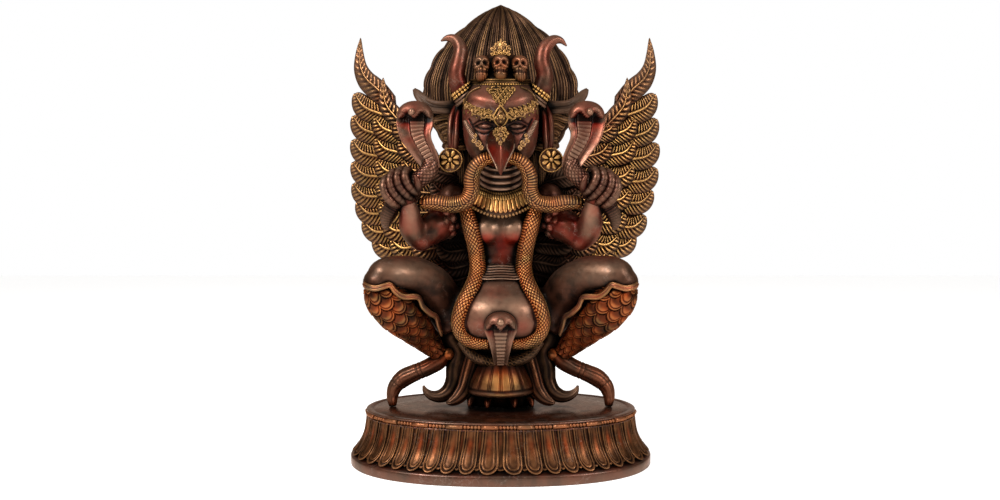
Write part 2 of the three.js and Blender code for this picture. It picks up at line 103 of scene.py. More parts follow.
def squarish(power):
    def section(angle):
        return tuple(np.sign(v) * np.abs(v) ** (2 / power) for v in ellipse(angle))

    return section


def hooded(offset, share):
    """A cobra's hood: round behind, and hollow in front between a raised column and its edges."""

    def section(angle):
        across, deep = ellipse(angle)
        column = smooth_step(np.abs(across - offset), share + 0.1, share - 0.04)
        front = (0.2 + 0.4 * column + 0.65 * across**4) * clamp(deep) ** 0.3
        return across, np.where(deep > 0, front, 0.9 * deep)

    return section


def beaked(angle):
    """A beak's section: a sharp ridge in front and flat sides."""
    across, deep = ellipse(angle)
    return across, np.where(deep > 0, 1.25 * (1 - np.abs(across)) ** 0.85, 0.8 * deep)


def on_side(side, stations):
    return [(side * x, *rest) for x, *rest in stations]


# Surfaces.


def unit(vectors):
    return vectors / np.maximum(np.linalg.norm(vectors, axis=-1, keepdims=True), 1e-9)


def ring_angles(around, dense_front):
    """Angles round a ring from its back, drawn together towards its front."""
    turn = 2 * math.pi * np.arange(around) / around
    return turn - math.pi / 2 + dense_front * np.sin(turn)


def loft(stations, around, step, section=ellipse, facing=FRONT, relief=None, dense_front=0.0, level=False):
    """Rings of points along a smooth line of stations [x, y, z, half width, half depth].

    Each ring starts at the back and goes round over the front. A relief gives each point's height and
    crest from its length s and share t along the line, its share p round it from the front, its angle,
    its place and its normal.
    """
    stations = [(*s, s[3]) if len(s) == 4 else s for s in stations]
    shares, along = even_shares(stations, step)
    run = spline(stations, shares)
    centre, sizes = run[:, :3], np.maximum(run[:, 3:5], 0.02)
    forward = unit(np.gradient(centre, axis=0))
    if level:
        forward = np.broadcast_to(UP, forward.shape) * np.sign(forward[0, 2])
    deep = unit(facing - forward * (forward @ facing)[:, None])
    wide = np.cross(forward, deep)
    angle = ring_angles(around, dense_front)
    across, out = section(angle)
    points = centre[:, None] + wide[:, None] * (across * sizes[:, :1])[..., None]
    points = points + deep[:, None] * (out * sizes[:, 1:])[..., None]
    shape = points.shape[:2]
    if relief is None:
        return points, np.ones(shape)
    ahead = np.roll(points, -1, 1)
    hop = np.linalg.norm(ahead - points, axis=2)
    normal = unit(np.cross(ahead - np.roll(points, 1, 1), np.gradient(points, axis=0)))
    normal *= np.sign(np.sum(normal * (points - centre[:, None]), axis=(1, 2)))[:, None, None]
    on = SimpleNamespace(
        s=np.broadcast_to(along[:, None], shape),
        t=np.broadcast_to((along / along[-1])[:, None], shape),
        p=(np.cumsum(hop, 1) - hop) / hop.sum(1, keepdims=True) - 0.5,
        angle=np.broadcast_to(angle, shape),
        at=points,
        normal=normal,
    )
    height, crest = relief(on)
    return points + normal * np.asarray(height)[..., None], np.broadcast_to(crest, shape)


def lump(centre, sizes, around=28, rows=16, relief=None):
    """A rounded lump, as rings from its underside to its top."""
    polar = np.linspace(-math.pi / 2 + 0.02, math.pi / 2 - 0.02, rows)[:, None]
    angle = -math.pi / 2 + 2 * math.pi * np.arange(around) / around
    rise = np.broadcast_to(np.sin(polar), (rows, around))
    ball = np.stack([np.cos(polar) * np.cos(angle), -np.cos(polar) * np.sin(angle), rise], -1)
    points = np.array(centre) + ball * np.array(sizes)
    if relief is None:
        return points, np.ones(rise.shape)
    height, crest = relief(ball)
    return points + unit(ball / np.array(sizes)) * height[..., None], crest


class Carving:
    """The closed surfaces of one piece, with what each point tells its finish."""

    MARKS = ("gilt", "ruddy", "crest")

    def __init__(self):
        self.points, self.quads, self.triangles, self.marks = [], [], [], []
        self.total = 0

    def add(self, points, quads, triangles, marks):
        """A closed surface, turned so that its faces point out."""
        a, b, c, d = (points[quads[:, i]] for i in range(4))
        volume = np.einsum("ij,ij->", a, np.cross(b, c)) + np.einsum("ij,ij->", a, np.cross(c, d))
        e, f, g = (points[triangles[:, i]] for i in range(3))
        volume += np.einsum("ij,ij->", e, np.cross(f, g))
        if volume < 0:
            quads, triangles = quads[:, ::-1], triangles[:, ::-1]
        self.points.append(points)
        self.quads.append(quads + self.total)
        self.triangles.append(triangles + self.total)
        self.marks.append(marks)
        self.total += len(points)

    def skin(self, surface, gilt=0.0, ruddy=0.0):
        """Rings of points, closed round and filled at both ends."""
        points, crest = surface
        rows, around = points.shape[:2]
        index = np.arange(rows * around).reshape(rows, around)
        on = np.roll(index, -1, 1)
        quads = np.stack([index[:-1], on[:-1], on[1:], index[1:]], -1).reshape(-1, 4)
        middles = rows * around + np.arange(2)
        ends = [
            np.stack([index[0], np.full(around, middles[0]), on[0]], -1),
            np.stack([on[-1], np.full(around, middles[1]), index[-1]], -1),
        ]
        marks = np.stack([np.broadcast_to(m, (rows, around)) for m in (gilt, ruddy, crest)], -1)
        flat = np.vstack([points.reshape(-1, 3), points[0].mean(0), points[-1].mean(0)])
        flat_marks = np.vstack([marks.reshape(-1, 3), marks[0].mean(0), marks[-1].mean(0)])
        self.add(flat, quads, np.vstack(ends), flat_marks)

    def sweep(self, stations, around, step, gilt=0.0, ruddy=0.0, **form):
        """The skin lofted along stations."""
        self.skin(loft(stations, around, step, **form), gilt, ruddy)

    def pair(self, stations, around, step, **form):
        """The same skin on the right and, mirrored, on the left."""
        for side in (LEFT, RIGHT):
            self.sweep(on_side(side, stations), around, step, **form)

    def boss(self, centre, sizes, around, rows, gilt=0.0, ruddy=0.0, relief=None):
        """The skin of a lump."""
        self.skin(lump(centre, sizes, around, rows, relief), gilt, ruddy)

    def arrays(self):
        return (np.vstack(v) for v in (self.points, self.quads, self.triangles, self.marks))


def to_world(points):
    """Figure millimetres to metres in the frame."""
    return points * FIGURE_SCALE + np.array([0, 0, FIGURE_LOW[2]])


def placed(name, data):
    """An object at the origin, linked to the scene."""
    obj = bpy.data.objects.new(name, data)
    bpy.context.scene.collection.objects.link(obj)
    return obj


def mesh_object(name, points, quads, triangles, marks, material):
    mesh = bpy.data.meshes.new(name)
    mesh.vertices.add(len(points))
    mesh.vertices.foreach_set("co", np.ascontiguousarray(points, np.float32).ravel())
    corners = np.concatenate([quads.ravel(), triangles.ravel()]).astype(np.int32)
    mesh.loops.add(len(corners))
    mesh.loops.foreach_set("vertex_index", corners)
    starts = np.concatenate([np.arange(len(quads)) * 4, len(quads) * 4 + np.arange(len(triangles)) * 3])
    mesh.polygons.add(len(starts))
    mesh.polygons.foreach_set("loop_start", starts.astype(np.int32))
    mesh.polygons.foreach_set("use_smooth", np.ones(len(starts), bool))
    mesh.update(calc_edges=True)
    for i, mark in enumerate(Carving.MARKS):
        store_mark(mesh, mark, marks[:, i])
    mesh.materials.append(material)
    return placed(name, mesh)


def store_mark(mesh, mark, values):
    """Keeps one number a vertex for the materials."""
    store = mesh.attributes.get(mark) or mesh.attributes.new(mark, "FLOAT", "POINT")
    store.data.foreach_set("value", values.astype(np.float32))


PIECES = []


def claim(obj, node):
    """Hangs a piece under the root, hides the frame node that it stands for, and keeps it for the last pass.
    """
    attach(obj, "root")
    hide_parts(node)
    PIECES.append(obj)


def cast(name, carving, material, node="garuda_figure", place=to_world):
    points, quads, triangles, marks = carving.arrays()
    claim(mesh_object(name, place(points), quads, triangles, marks, material), node)


# Heights on a surface, from places on it.


def ridge(x, z, line, width, height):
    """A raised line: highest along it, and gone a little beyond its width."""
    nearest = np.full(np.shape(x), 1e9)
    for (x0, z0), (x1, z1) in zip(line, line[1:]):
        dx, dz = x1 - x0, z1 - z0
        t = clamp(((x - x0) * dx + (z - z0) * dz) / (dx * dx + dz * dz))
        nearest = np.minimum(nearest, np.hypot(x - x0 - t * dx, z - z0 - t * dz))
    return height * np.exp(-((nearest / width) ** 2))


def swell(x, z, at, radii, height):
    return height * np.exp(-(((x - at[0]) / radii[0]) ** 2) - ((z - at[1]) / radii[1]) ** 2)


def peak(value, at, width):
    """1 at a value, and gone a little beyond a width on either side."""
    return np.exp(-(((value - at) / width) ** 2))


def smooth_step(value, low, high):
    t = clamp((value - low) / (high - low))
    return t * t * (3 - 2 * t)


def clamp(value):
    """Holds a value between 0 and 1."""
    return np.clip(value, 0, 1)


def part(value):
    return value - np.floor(value)


# Materials.


def linear(hex_colour):
    """An sRGB hex colour as the linear one that shaders take."""
    channels = [int(hex_colour[i : i + 2], 16) / 255 for i in (1, 3, 5)]
    return (*[c / 12.92 if c <= 0.04045 else ((c + 0.055) / 1.055) ** 2.4 for c in channels], 1.0)


def add_node(tree, kind, links=(), **settings):
    """Adds a node with its settings. An input takes a value, a socket or another node's first output."""
    node = tree.nodes.new(kind)
    for key, value in settings.items():
        setattr(node, key, value)
    for socket, value in dict(links).items():
        source = value.outputs[0] if isinstance(value, bpy.types.Node) else value
        if isinstance(source, bpy.types.NodeSocket):
            tree.links.new(source, node.inputs[socket])
        else:
            node.inputs[socket].default_value = source
    return node


# The patina's noises: a size in millimetres, a detail and a seed. The casting's own grain, of a few
# tenths of a millimetre, is too fine to show and is drawn at 1.1 mm.
NOISES = [
    ("clouds", 9, 4, 0.31), ("blush", 14, 3, 0.7), ("handling", 5, 5, 0.11), ("wander", 7, 7, 0.23),
    ("patches", 17, 2, 0.4), ("sheen", 3.2, 6, 0.9), ("grain", 1.1, 3, 0.5),
]
# Soft steps of a mark or a noise: from two levels of it to two shares.
STEPS = [
    ("mottled", "clouds", 0.35, 0.65, 0, 1),
    ("blushing", "blush", 0.3, 0.62, 0, 1),
    ("proud", "crest", 0.45, 1, 0, 1),
    ("handled", "handling", 0.15, 0.6, 0.55, 1),
    ("sunk", "hollow", 0.42, 0.64, 0, 1),
    ("groove", "crest", 0.1, 0.8, 0.97, 0),
    ("outward", "hollow", 0.42, 0.2, 0, 1),
    ("rising", "wander", 0.482, 0.5, 0, 1),
    ("falling", "wander", 0.518, 0.5, 0, 1),
    ("patchy", "patches", 0.48, 0.6, 0, 1),
]
# Shares worked out from two others. Grime and painted shade fill what lies sunk or in a groove. Hair-fine
# lines run where a slow noise crosses its middle.
SHARES = [
    ("redness", "MULTIPLY", "ruddy", "blushing"),
    ("rubbed_and_highlit", "MULTIPLY", "proud", "handled"),
    ("gilding", "MULTIPLY", "gilt", "rubbed_and_highlit"),
    ("grime_and_shade", "MAXIMUM", "sunk", "groove"),
    ("edges", "MULTIPLY", "outward", 0.3),
    ("lines", "MULTIPLY", "rising", "falling"),
    ("grouped", "MULTIPLY", "lines", "patchy"),
    ("dull", "MULTIPLY", "grime_and_shade", 0.3),
]
# The colours of grime with painted shade, bare edges and scuffs.
GRIME_SHADE_AND_WEAR = {"grime_and_shade": "#050302", "edges": "#8c6a54", "scuffs": "#8d7c70"}


def bronze(name, brown, dark, red, gold, roughness, metallic=0.75, coat=0.3, scuffed=0.0):
    """Cast bronze with a waxed patina: grime and painted shade in its hollows, red lacquer on skin, and worn
    gilding on crests, which some pieces also use for painted highlights.
    """
    material = bpy.data.materials.new(name)
    material.use_nodes = True
    tree = material.node_tree
    tree.nodes.clear()
    place = add_node(tree, "ShaderNodeTexCoord").outputs["Object"]
    value = {}
    for mark in (*Carving.MARKS, "hollow"):
        value[mark] = add_node(tree, "ShaderNodeAttribute", attribute_name=mark).outputs["Fac"]
    for key, size_mm, detail, seed in NOISES:
        moved = add_node(tree, "ShaderNodeMapping", {"Vector": place, "Location": (seed, seed, seed)})
        wave = {"Vector": moved, "Scale": 1 / (size_mm * MM), "Detail": detail}
        value[key] = add_node(tree, "ShaderNodeTexNoise", wave)
    for key, source, *levels in (*STEPS, ("rough", "sheen", 0.3, 0.7, roughness - 0.07, roughness + 0.1)):
        span = dict(zip(("From Min", "From Max", "To Min", "To Max"), levels), Value=value[source])
        value[key] = add_node(tree, "ShaderNodeMapRange", span, interpolation_type="SMOOTHSTEP")
    last = (("scuffs", "MULTIPLY", "grouped", scuffed), ("roughness", "ADD", "rough", "dull"))
    for key, operation, a, b in (*SHARES, *last):
        terms = {0: value[a], 1: value.get(b, b)}
        value[key] = add_node(tree, "ShaderNodeMath", terms, operation=operation, use_clamp=True)
    colour = linear(dark)
    layers = {"mottled": brown, "redness": red, "gilding": gold, **GRIME_SHADE_AND_WEAR}
    for key, tint in layers.items():
        layer = {0: value[key], 6: colour, 7: linear(tint)}
        colour = add_node(tree, "ShaderNodeMix", layer, data_type="RGBA").outputs[2]
    bump = add_node(tree, "ShaderNodeBump", {"Strength": 0.12, "Distance": 0.0003, "Height": value["grain"]})
    finish = {
        "Base Color": colour,
        "Metallic": metallic,
        "Roughness": value["roughness"],
        "Normal": bump,
        "Coat Weight": coat,
        "Coat Roughness": 0.28,
        "Specular IOR Level": 0.12,
        "Specular Tint": linear("#e0c4b0"),
    }
    shader = add_node(tree, "ShaderNodeBsdfPrincipled", finish)
    add_node(tree, "ShaderNodeOutputMaterial", {"Surface": shader})
    return material


# Waxed dark bronze of the body: a brown sheen, with red lacquer on the flesh.
SKIN_BRONZE = bronze(
    "patinated bronze skin", "#40251a", "#1b0f0a", "#6b1106", "#b08a70", 0.4, coat=0.05, scuffed=0.18
)
# Parcel-gilt relief: gold rubbed to a brown on the crests, over near-black grooves.
GILT_BRONZE = bronze("worn gilt bronze", "#331e14", "#160c08", "#8f3c18", "#b88a4e", 0.35, 0.78, 0.01)
# Dark combed bronze of the hair, with gold left on some strands.
HAIR_BRONZE = bronze("dark combed bronze", "#463024", "#291b13", "#7a3a14", "#a07648", 0.4, 0.74, 0.01)
# Red-brown bronze of the petals and their moulding, with a soft shine on the lips.
PLINTH_BRONZE = bronze(
    "red-brown plinth bronze", "#57351f", "#2a170d", "#8a300f", "#b07a4a", 0.38, coat=0.03, scuffed=0.12
)
# The same bronze polished by hands: pale reflections over a darker brown.
POLISHED_BRONZE = bronze(
    "polished plinth bronze", "#44271a", "#1f120c", "#7a2a10", "#b07a4a", 0.28, scuffed=0.24
)


# Body: one smooth skin over limbs and trunk.

TRUNK = [
    (0, 0, 156, 17, 13), (0, 4, 146.5, 28, 17), (0, 4, 135.5, 30, 18), (0, 5, 124, 26.5, 17),
    (0, 6, 109, 19.5, 14.5), (0, -2, 90.5, 26.5, 22.5), (0, -7.4, 76, 32.4, 27.2), (0, -8, 62, 34, 27.5),
    (0, -3, 48, 28, 24), (0, 3, 38, 21, 19), (0, 6, 26, 18, 14), (0, 7, 0, 20, 14),
]
RUMP = [
    (0, 14, 99, 28, 9), (0, 18, 78, 45, 12.5), (0, 16, 50, 45, 13.5), (0, 10, 30, 32, 12.5),
    (0, 9, 14, 19, 11.5), (0, 9, 0, 17, 10),
]
UPPER_ARM = [
    (25, 7, 150.5, 9), (33, 5, 145.5, 12), (42, -1, 138, 12.2), (49, -7.5, 132.5, 12.2), (55, -12, 126, 9),
]
FOREARM = [
    (60.5, -14, 121, 6.5), (62, -16, 126, 8.6), (64.6, -19.5, 133, 8.9), (65, -24, 142, 7.7),
    (66, -28, 150, 6.4), (68, -31, 157, 7),
]
THIGH = [
    (34, 4, 58, 13), (43.5, 2, 74, 15.5), (50, -6, 87, 16.5), (61, -16, 95, 15.5), (72, -26, 97.5, 14.7),
    (82, -33, 96.5, 13.2), (87.5, -36, 92.5, 9),
]


def closed_skin(forms, voxel, blend):
    """One smooth surface over overlapping forms, whose meetings are filled like a modeller's wax."""
    wax = Carving()
    for form in forms:
        wax.skin(form)
    points, quads, triangles, _ = wax.arrays()
    grid = openvdb.FloatGrid.createLevelSetFromPolygons(
        points.astype(np.float32),
        triangles=triangles.astype(np.uint32),
        quads=quads.astype(np.uint32),
        transform=openvdb.createLinearTransform(voxel),
        halfWidth=6.0,
    )
    low, high = grid.evalActiveVoxelBoundingBox()
    depth = np.zeros([b - a + 1 for a, b in zip(low, high)], np.float32)
    grid.copyToArray(depth, ijk=low)
    sharp = depth.copy()
    for _ in range(3):
        depth = box_blur(depth, blend)
    # Only hollows are filled: the skin keeps whichever of the two stands further out.
    depth = np.minimum(depth, sharp + 0.1 * voxel)
    fresh = openvdb.FloatGrid(float(depth.max()))
    fresh.copyFromArray(depth, ijk=low)
    fresh.transform = openvdb.createLinearTransform(voxel)
    points, triangles, quads = fresh.convertToPolygons(0.0, 0.0)
    return points.astype(float), quads.astype(np.int64), triangles.astype(np.int64)


def box_blur(values, radius):
    """The mean over a cube of cells round each cell."""
    for axis in range(3):
        pad = [(radius + 1, radius) if i == axis else (0, 0) for i in range(3)]
        summed = np.cumsum(np.pad(values, pad, mode="edge"), axis=axis, dtype=np.float64)
        width = 2 * radius + 1
        size = values.shape[axis]
        upper = np.take(summed, np.arange(width, width + size), axis=axis)
        lower = np.take(summed, np.arange(size), axis=axis)
        values = ((upper - lower) / width).astype(np.float32)
    return values


SASH = [
    (0, 5, 106.4, 19, 13.5), (0, 4, 105, 20.8, 15.6), (0, 1, 99.8, 22.5, 18.2), (0, -1.5, 95, 25, 22.2),
    (0, -1.8, 93.6, 24.5, 21),
]
BELLY = [
    (0, -0.6, 94.6, 22, 20.4), (0, -1.8, 92.4, 24, 22), (0, -3.4, 87.5, 27.2, 24.4), (0, -6, 82, 30.8, 26.8),
    (0, -7.8, 76, 33.2, 28.3), (0, -8.6, 69, 34.4, 28.8), (0, -8.5, 62, 34.4, 28.4), (0, -3, 48, 28.4, 24.6),
    (0, 3, 40, 20, 16),
]
# Half the belly's width in front between the serpents, from its foot up.
BELLY_HEIGHTS = [46, 51, 56.5, 64.7, 75.6, 87, 93.5]
BELLY_HALVES = [12, 18.6, 22.8, 24.4, 21.8, 15.6, 12.8]


def body():
    forms = [loft(TRUNK, 48, 2, squarish(2.5), level=True), loft(RUMP, 40, 2, level=True)]
    for side in (LEFT, RIGHT):
        forms += [
            lump((side * 9.8, -9.4, 130.6), (10.6, 8.2, 10.8)),
            lump((side * 34, 4, 146), (13, 11, 10)),
            lump((side * 36, 4, 154.5), (11.5, 10, 12.5)),
            loft(on_side(side, UPPER_ARM), 28, 2),
            lump((side * 58, -13.6, 122.6), (8.2, 8, 8)),
            loft(on_side(side, FOREARM), 28, 2),
            loft(on_side(side, THIGH), 32, 2),
            lump((side * 84.4, -34.5, 93), (12, 11.5, 11)),
        ]
    points, quads, triangles = closed_skin(forms, voxel=1.85, blend=1)
    x, y, z = np.abs(points[:, 0]), points[:, 1], points[:, 2]
    # The lacquer is reddest on the arms and under the breast.
    arms = smooth_step(x, 27, 36) * smooth_step(z, 104, 114) * (1 - 0.75 * smooth_step(z, 144, 152))
    chest = swell(x, z, (8.4, 124.4), (7.6, 4.2), 1.5) * (x < 30) + swell(x, z, (0, 113), (11, 9), 0.55)
    belly = swell(x, z, (8, 88), (20, 12), 0.35) * (x < 30)
    in_front = smooth_step(-y, -2, 5)
    ruddy = clamp(np.maximum(0.55 * arms, np.maximum(chest, belly) * in_front))
    # Painted highlights make the breast, the thighs and the forearms paler.
    rubbed_and_highlit = swell(x, z, (10, 134), (10, 6.5), 0.5) * (y < 0)
    rubbed_and_highlit += swell(x, z, (62, 103), (22, 9), 0.3) * (y < -8)
    rubbed_and_highlit += swell(x, z, (63, 142), (6, 14), 0.3) * (y < -20)
    # Painted shade: a dark crescent under each breast and a dark line between them.
    under = swell(x, z, (9, 119.6), (6.5, 1.6), 0.7) + ridge(x, z, [(0, 121), (0, 136)], 0.8, 0.35)
    carving = Carving()
    carving.add(points, quads, triangles, np.stack([rubbed_and_highlit, ruddy, 1 - under * (y < 0) * (x < 24)], -1))
    cast("body", carving, SKIN_BRONZE)


def belly_and_sash():
    carving = Carving()

    def pleats(on):
        wave = np.sin(2 * math.pi * (on.s / 2.1 + 0.5 * np.cos(on.angle) ** 2 + 0.16 * np.sin(9 * on.angle)))
        return 0.32 * wave, clamp(0.6 + 0.45 * wave)

    def pear(on):
        # A dark line follows the belly's edge, just inside the serpents.
        half = np.interp(on.at[..., 2], BELLY_HEIGHTS, BELLY_HALVES)
        edge = peak(np.abs(on.at[..., 0]), half, 0.8) * (on.at[..., 1] < 0)
        return -0.5 * edge, 1 - 0.8 * edge

    carving.sweep(SASH, 96, 0.4, section=squarish(2.5), relief=pleats, level=True, gilt=0.5)
    swollen, mark = loft(BELLY, 120, 0.8, squarish(2.5), relief=pear, dense_front=0.4, level=True)
    across, up = swollen[..., 0], swollen[..., 2]
    patches = swell(np.abs(across), up, (14, 62), (7, 6), 0.9) + swell(across, up, (-3, 84), (8, 5), 0.9)
    # The belly is gilt a little all over, with a painted highlight either side of its middle.
    rubbed_and_highlit = 0.16
    for side in (LEFT, RIGHT):
        rubbed_and_highlit = rubbed_and_highlit + swell(across, up, (side * 9, 75.5), (7.5, 7), 0.26)
    carving.skin((swollen, mark), gilt=rubbed_and_highlit, ruddy=clamp(0.08 + 0.6 * patches))
    cast("belly_and_sash", carving, SKIN_BRONZE)


# Head.

SKULL = [
    (0, -16, 180, 15, 13), (0, -17, 183.5, 21.5, 18.5), (0, -17.4, 190, 25, 21.6),
    (0, -18, 198, 26.7, 23.5), (0, -18, 210, 27.6, 25), (0, -17, 220, 27.6, 25), (0, -16, 229, 24.4, 21.6),
    (0, -15, 236, 17, 16), (0, -15, 239, 9, 9),
]
CHEEK = [(24.6, 206), (21.6, 199), (18.3, 193), (15.8, 188.6)]
# Lines cut round the half-closed eyes, as a path, a width and a depth.
EYE_CREASES = [
    ([(5.4, 199.6), (8, 199), (11.5, 198.8), (15, 199.6), (18.4, 201.6)], 0.7, 1.3),
    ([(5.6, 200.8), (8.4, 202.3), (11.6, 202.9), (15, 202.6), (18.6, 201.4)], 0.5, 0.9),
    ([(5.4, 202.9), (8.4, 204.7), (11.6, 205.3), (15.5, 204.9), (19.6, 203)], 0.55, 0.9),
    ([(6, 197.8), (8.4, 196.2), (11.6, 195.6), (15.8, 196.8), (18, 198.6)], 0.5, 0.8),
    ([(22.3, 207), (19, 199.5), (15.6, 193), (12.6, 188.4)], 0.7, 0.9),
]


def face_relief(on):
    x, z = np.abs(on.at[..., 0]), on.at[..., 2]
    front = smooth_step(-on.normal[..., 1], 0.1, 0.6)
    height = ridge(x, z, [(5, 207), (11, 208.6), (17, 211), (22.5, 214.5)], 3.4, 2.4)
    height += ridge(x, z, [(4, 217), (9, 217.6), (15, 219.6), (20, 222)], 4.4, 1.7)
    height += swell(x, z, (11.8, 200), (8.6, 6.2), -3.6)
    height += swell(x, z, (11.6, 199.8), (6.2, 3.9), 3.6)
    height += ridge(x, z, CHEEK, 2.6, 1.4)
    height += ridge(x, z, [(0, 213), (0, 199)], 4.4, 1.6)
    height += swell(x, z, (12.5, 190), (6, 5), 0.7)
    cuts = 0.0
    for line, width, depth in EYE_CREASES:
        cut_here = ridge(x, z, line, width, 1.0)
        height -= depth * cut_here
        cuts = np.maximum(cuts, cut_here * min(1, 0.35 + depth))
    # Painted shade darkens the sockets and the sides of the beak's root.
    shade = swell(x, z, (6, 203.8), (9, 1.8), 0.5) + swell(x, z, (11.5, 193), (5, 6), 0.4)
    return height * front, clamp(1.0 - 0.95 * cuts * front - shade)


def surface_depth(points, x, z):
    """How far forward a surface lies at a place across and up."""
    flat = points.reshape(-1, 3)
    flat = flat[flat[:, 1] < np.median(flat[:, 1])]
    return flat[np.argmin((flat[:, 0] - x) ** 2 + (flat[:, 2] - z) ** 2), 1]


def curl(carving, at, radius, hand, turn, thick=0.6, gilt=1.0, turns=1.4):
    """A little scroll of wire that lies on the surface and curls in on itself."""
    t = np.linspace(0, 1, 22)
    angle = turn + hand * 2 * math.pi * turns * t
    reach = radius * (1 - 0.78 * t)
    x, y, z = at
    stations = [
        (x + r * math.cos(a), y - 0.5 * (1 - s), z + r * math.sin(a), thick * (1 - 0.25 * s))
        for r, a, s in zip(reach, angle, t)
    ]
    carving.sweep(stations, 7, 0.8, gilt=gilt)
    carving.boss((x, y - 0.4, z), (0.9 * thick, 0.8 * thick, 0.9 * thick), 8, 6, gilt=gilt)


BEAK = [
    (0, -37, 200.5, 1.6, 2), (0, -39.5, 198, 6.2, 4.6), (0, -41.5, 194.5, 8.4, 6.2),
    (0, -43, 190.5, 9.2, 7.2), (0, -45, 185.5, 8.9, 7.6), (0, -47.5, 180.5, 6.8, 6.8),
    (0, -50, 175, 4.3, 5.2), (0, -52.6, 169.6, 2, 3), (0, -54.4, 165.6, 0.4, 0.8),
]
BEAK_EDGE = [
    (9.2, -43.8, 188, 0.7), (9, -45, 185.2, 0.7), (7, -47.4, 180.4, 0.7), (4.4, -49.8, 175, 0.7),
    (2.1, -52.4, 169.4, 0.7),
]
NOSTRIL = [(3.4, 190.8), (5.2, 189.6), (7.2, 190.4)]
JAW = [(0, -22, 179.5, 12, 5), (0, -34, 177, 8.4, 4), (0, -43, 174, 3.6, 2.2), (0, -46, 172.5, 0.6, 0.6)]


def head():
    carving = Carving()
    face, crest = loft(SKULL, 184, 0.56, squarish(2.4), relief=face_relief, dense_front=0.6)
    out = np.abs(face[..., 0])
    bulge = swell(out, face[..., 2], (13, 219), (12, 5), 0.6) + smooth_step(out, 18, 26)
    carving.skin((face, crest), gilt=0.14, ruddy=np.clip(0.2 + 0.6 * bulge, 0, 0.72))
    carving.sweep([(0, -6, 176, 15, 13), (0, -6, 200, 22, 19), (0, -6, 222, 22, 19)], 24, 3)
    beak, _ = loft(BEAK, 64, 0.7, beaked)
    # The cere above is brown like the face, and the horny part below is red.
    horny = smooth_step(beak[..., 2], 189, 182)
    # The ridge is painted lighter than the beak's sides, as a painted highlight.
    carving.skin((beak, 0.6 + 0.4 * peak(beak[..., 0], 0, 1.3)), ruddy=0.12 + 1.2 * horny)
    carving.pair(BEAK_EDGE, 10, 0.8, gilt=0.3)

    def hatch(on):
        wave = np.sin(2 * math.pi * (on.s / 1.15 + 0.4 * on.angle))
        return 0.22 * wave, 0.62 + 0.38 * wave

    for side in (LEFT, RIGHT):
        nostril = [(side * x, surface_depth(beak, side * x, z) + 0.2, z, 0.55) for x, z in NOSTRIL]
        carving.sweep(nostril, 8, 0.7)
        strip = [(side * x, surface_depth(face, side * x, z) - 0.3, z, 1.7, 1.3) for x, z in CHEEK]
        carving.sweep(strip, 28, 0.35, relief=hatch, gilt=0.8)
    carving.sweep(JAW, 32, 1, facing=UP, ruddy=0.4)
    cast("head", carving, SKIN_BRONZE)
    return face, beak


BROW = [(5.5, 207), (9.2, 207.6), (13, 208.8), (16.8, 210.6), (20.4, 213), (23, 216.4)]
BROW_RIM = [(25.3, 211), (25.2, 217), (22.9, 223.4), (18.6, 227), (13.8, 228.6)]
GEM = [(199.8, 0.4, 0.5), (202, 2.6, 1.6), (206, 4.1, 2.2), (209.8, 2.4, 1.6), (213.2, 0.4, 0.5)]
GEM_RIM = [(0, 199.2), (3.1, 202.2), (4.9, 206.2), (3.1, 210), (0, 214)]
GEM_BEADS = [(0, 206.2, 1.7), (0, 202.8, 0.8), (-2.2, 204.8, 0.8), (2.2, 204.8, 0.8), (0, 209.4, 0.8)]


def triangle_of_places(counts, pitch, top, drop):
    """Places in rows one under another, each row centred, as (row, its i-th, x, z)."""
    return [
        (row, i, (i - (count - 1) / 2) * pitch, top - drop * row)
        for row, count in enumerate(counts)
        for i in range(count)
    ]


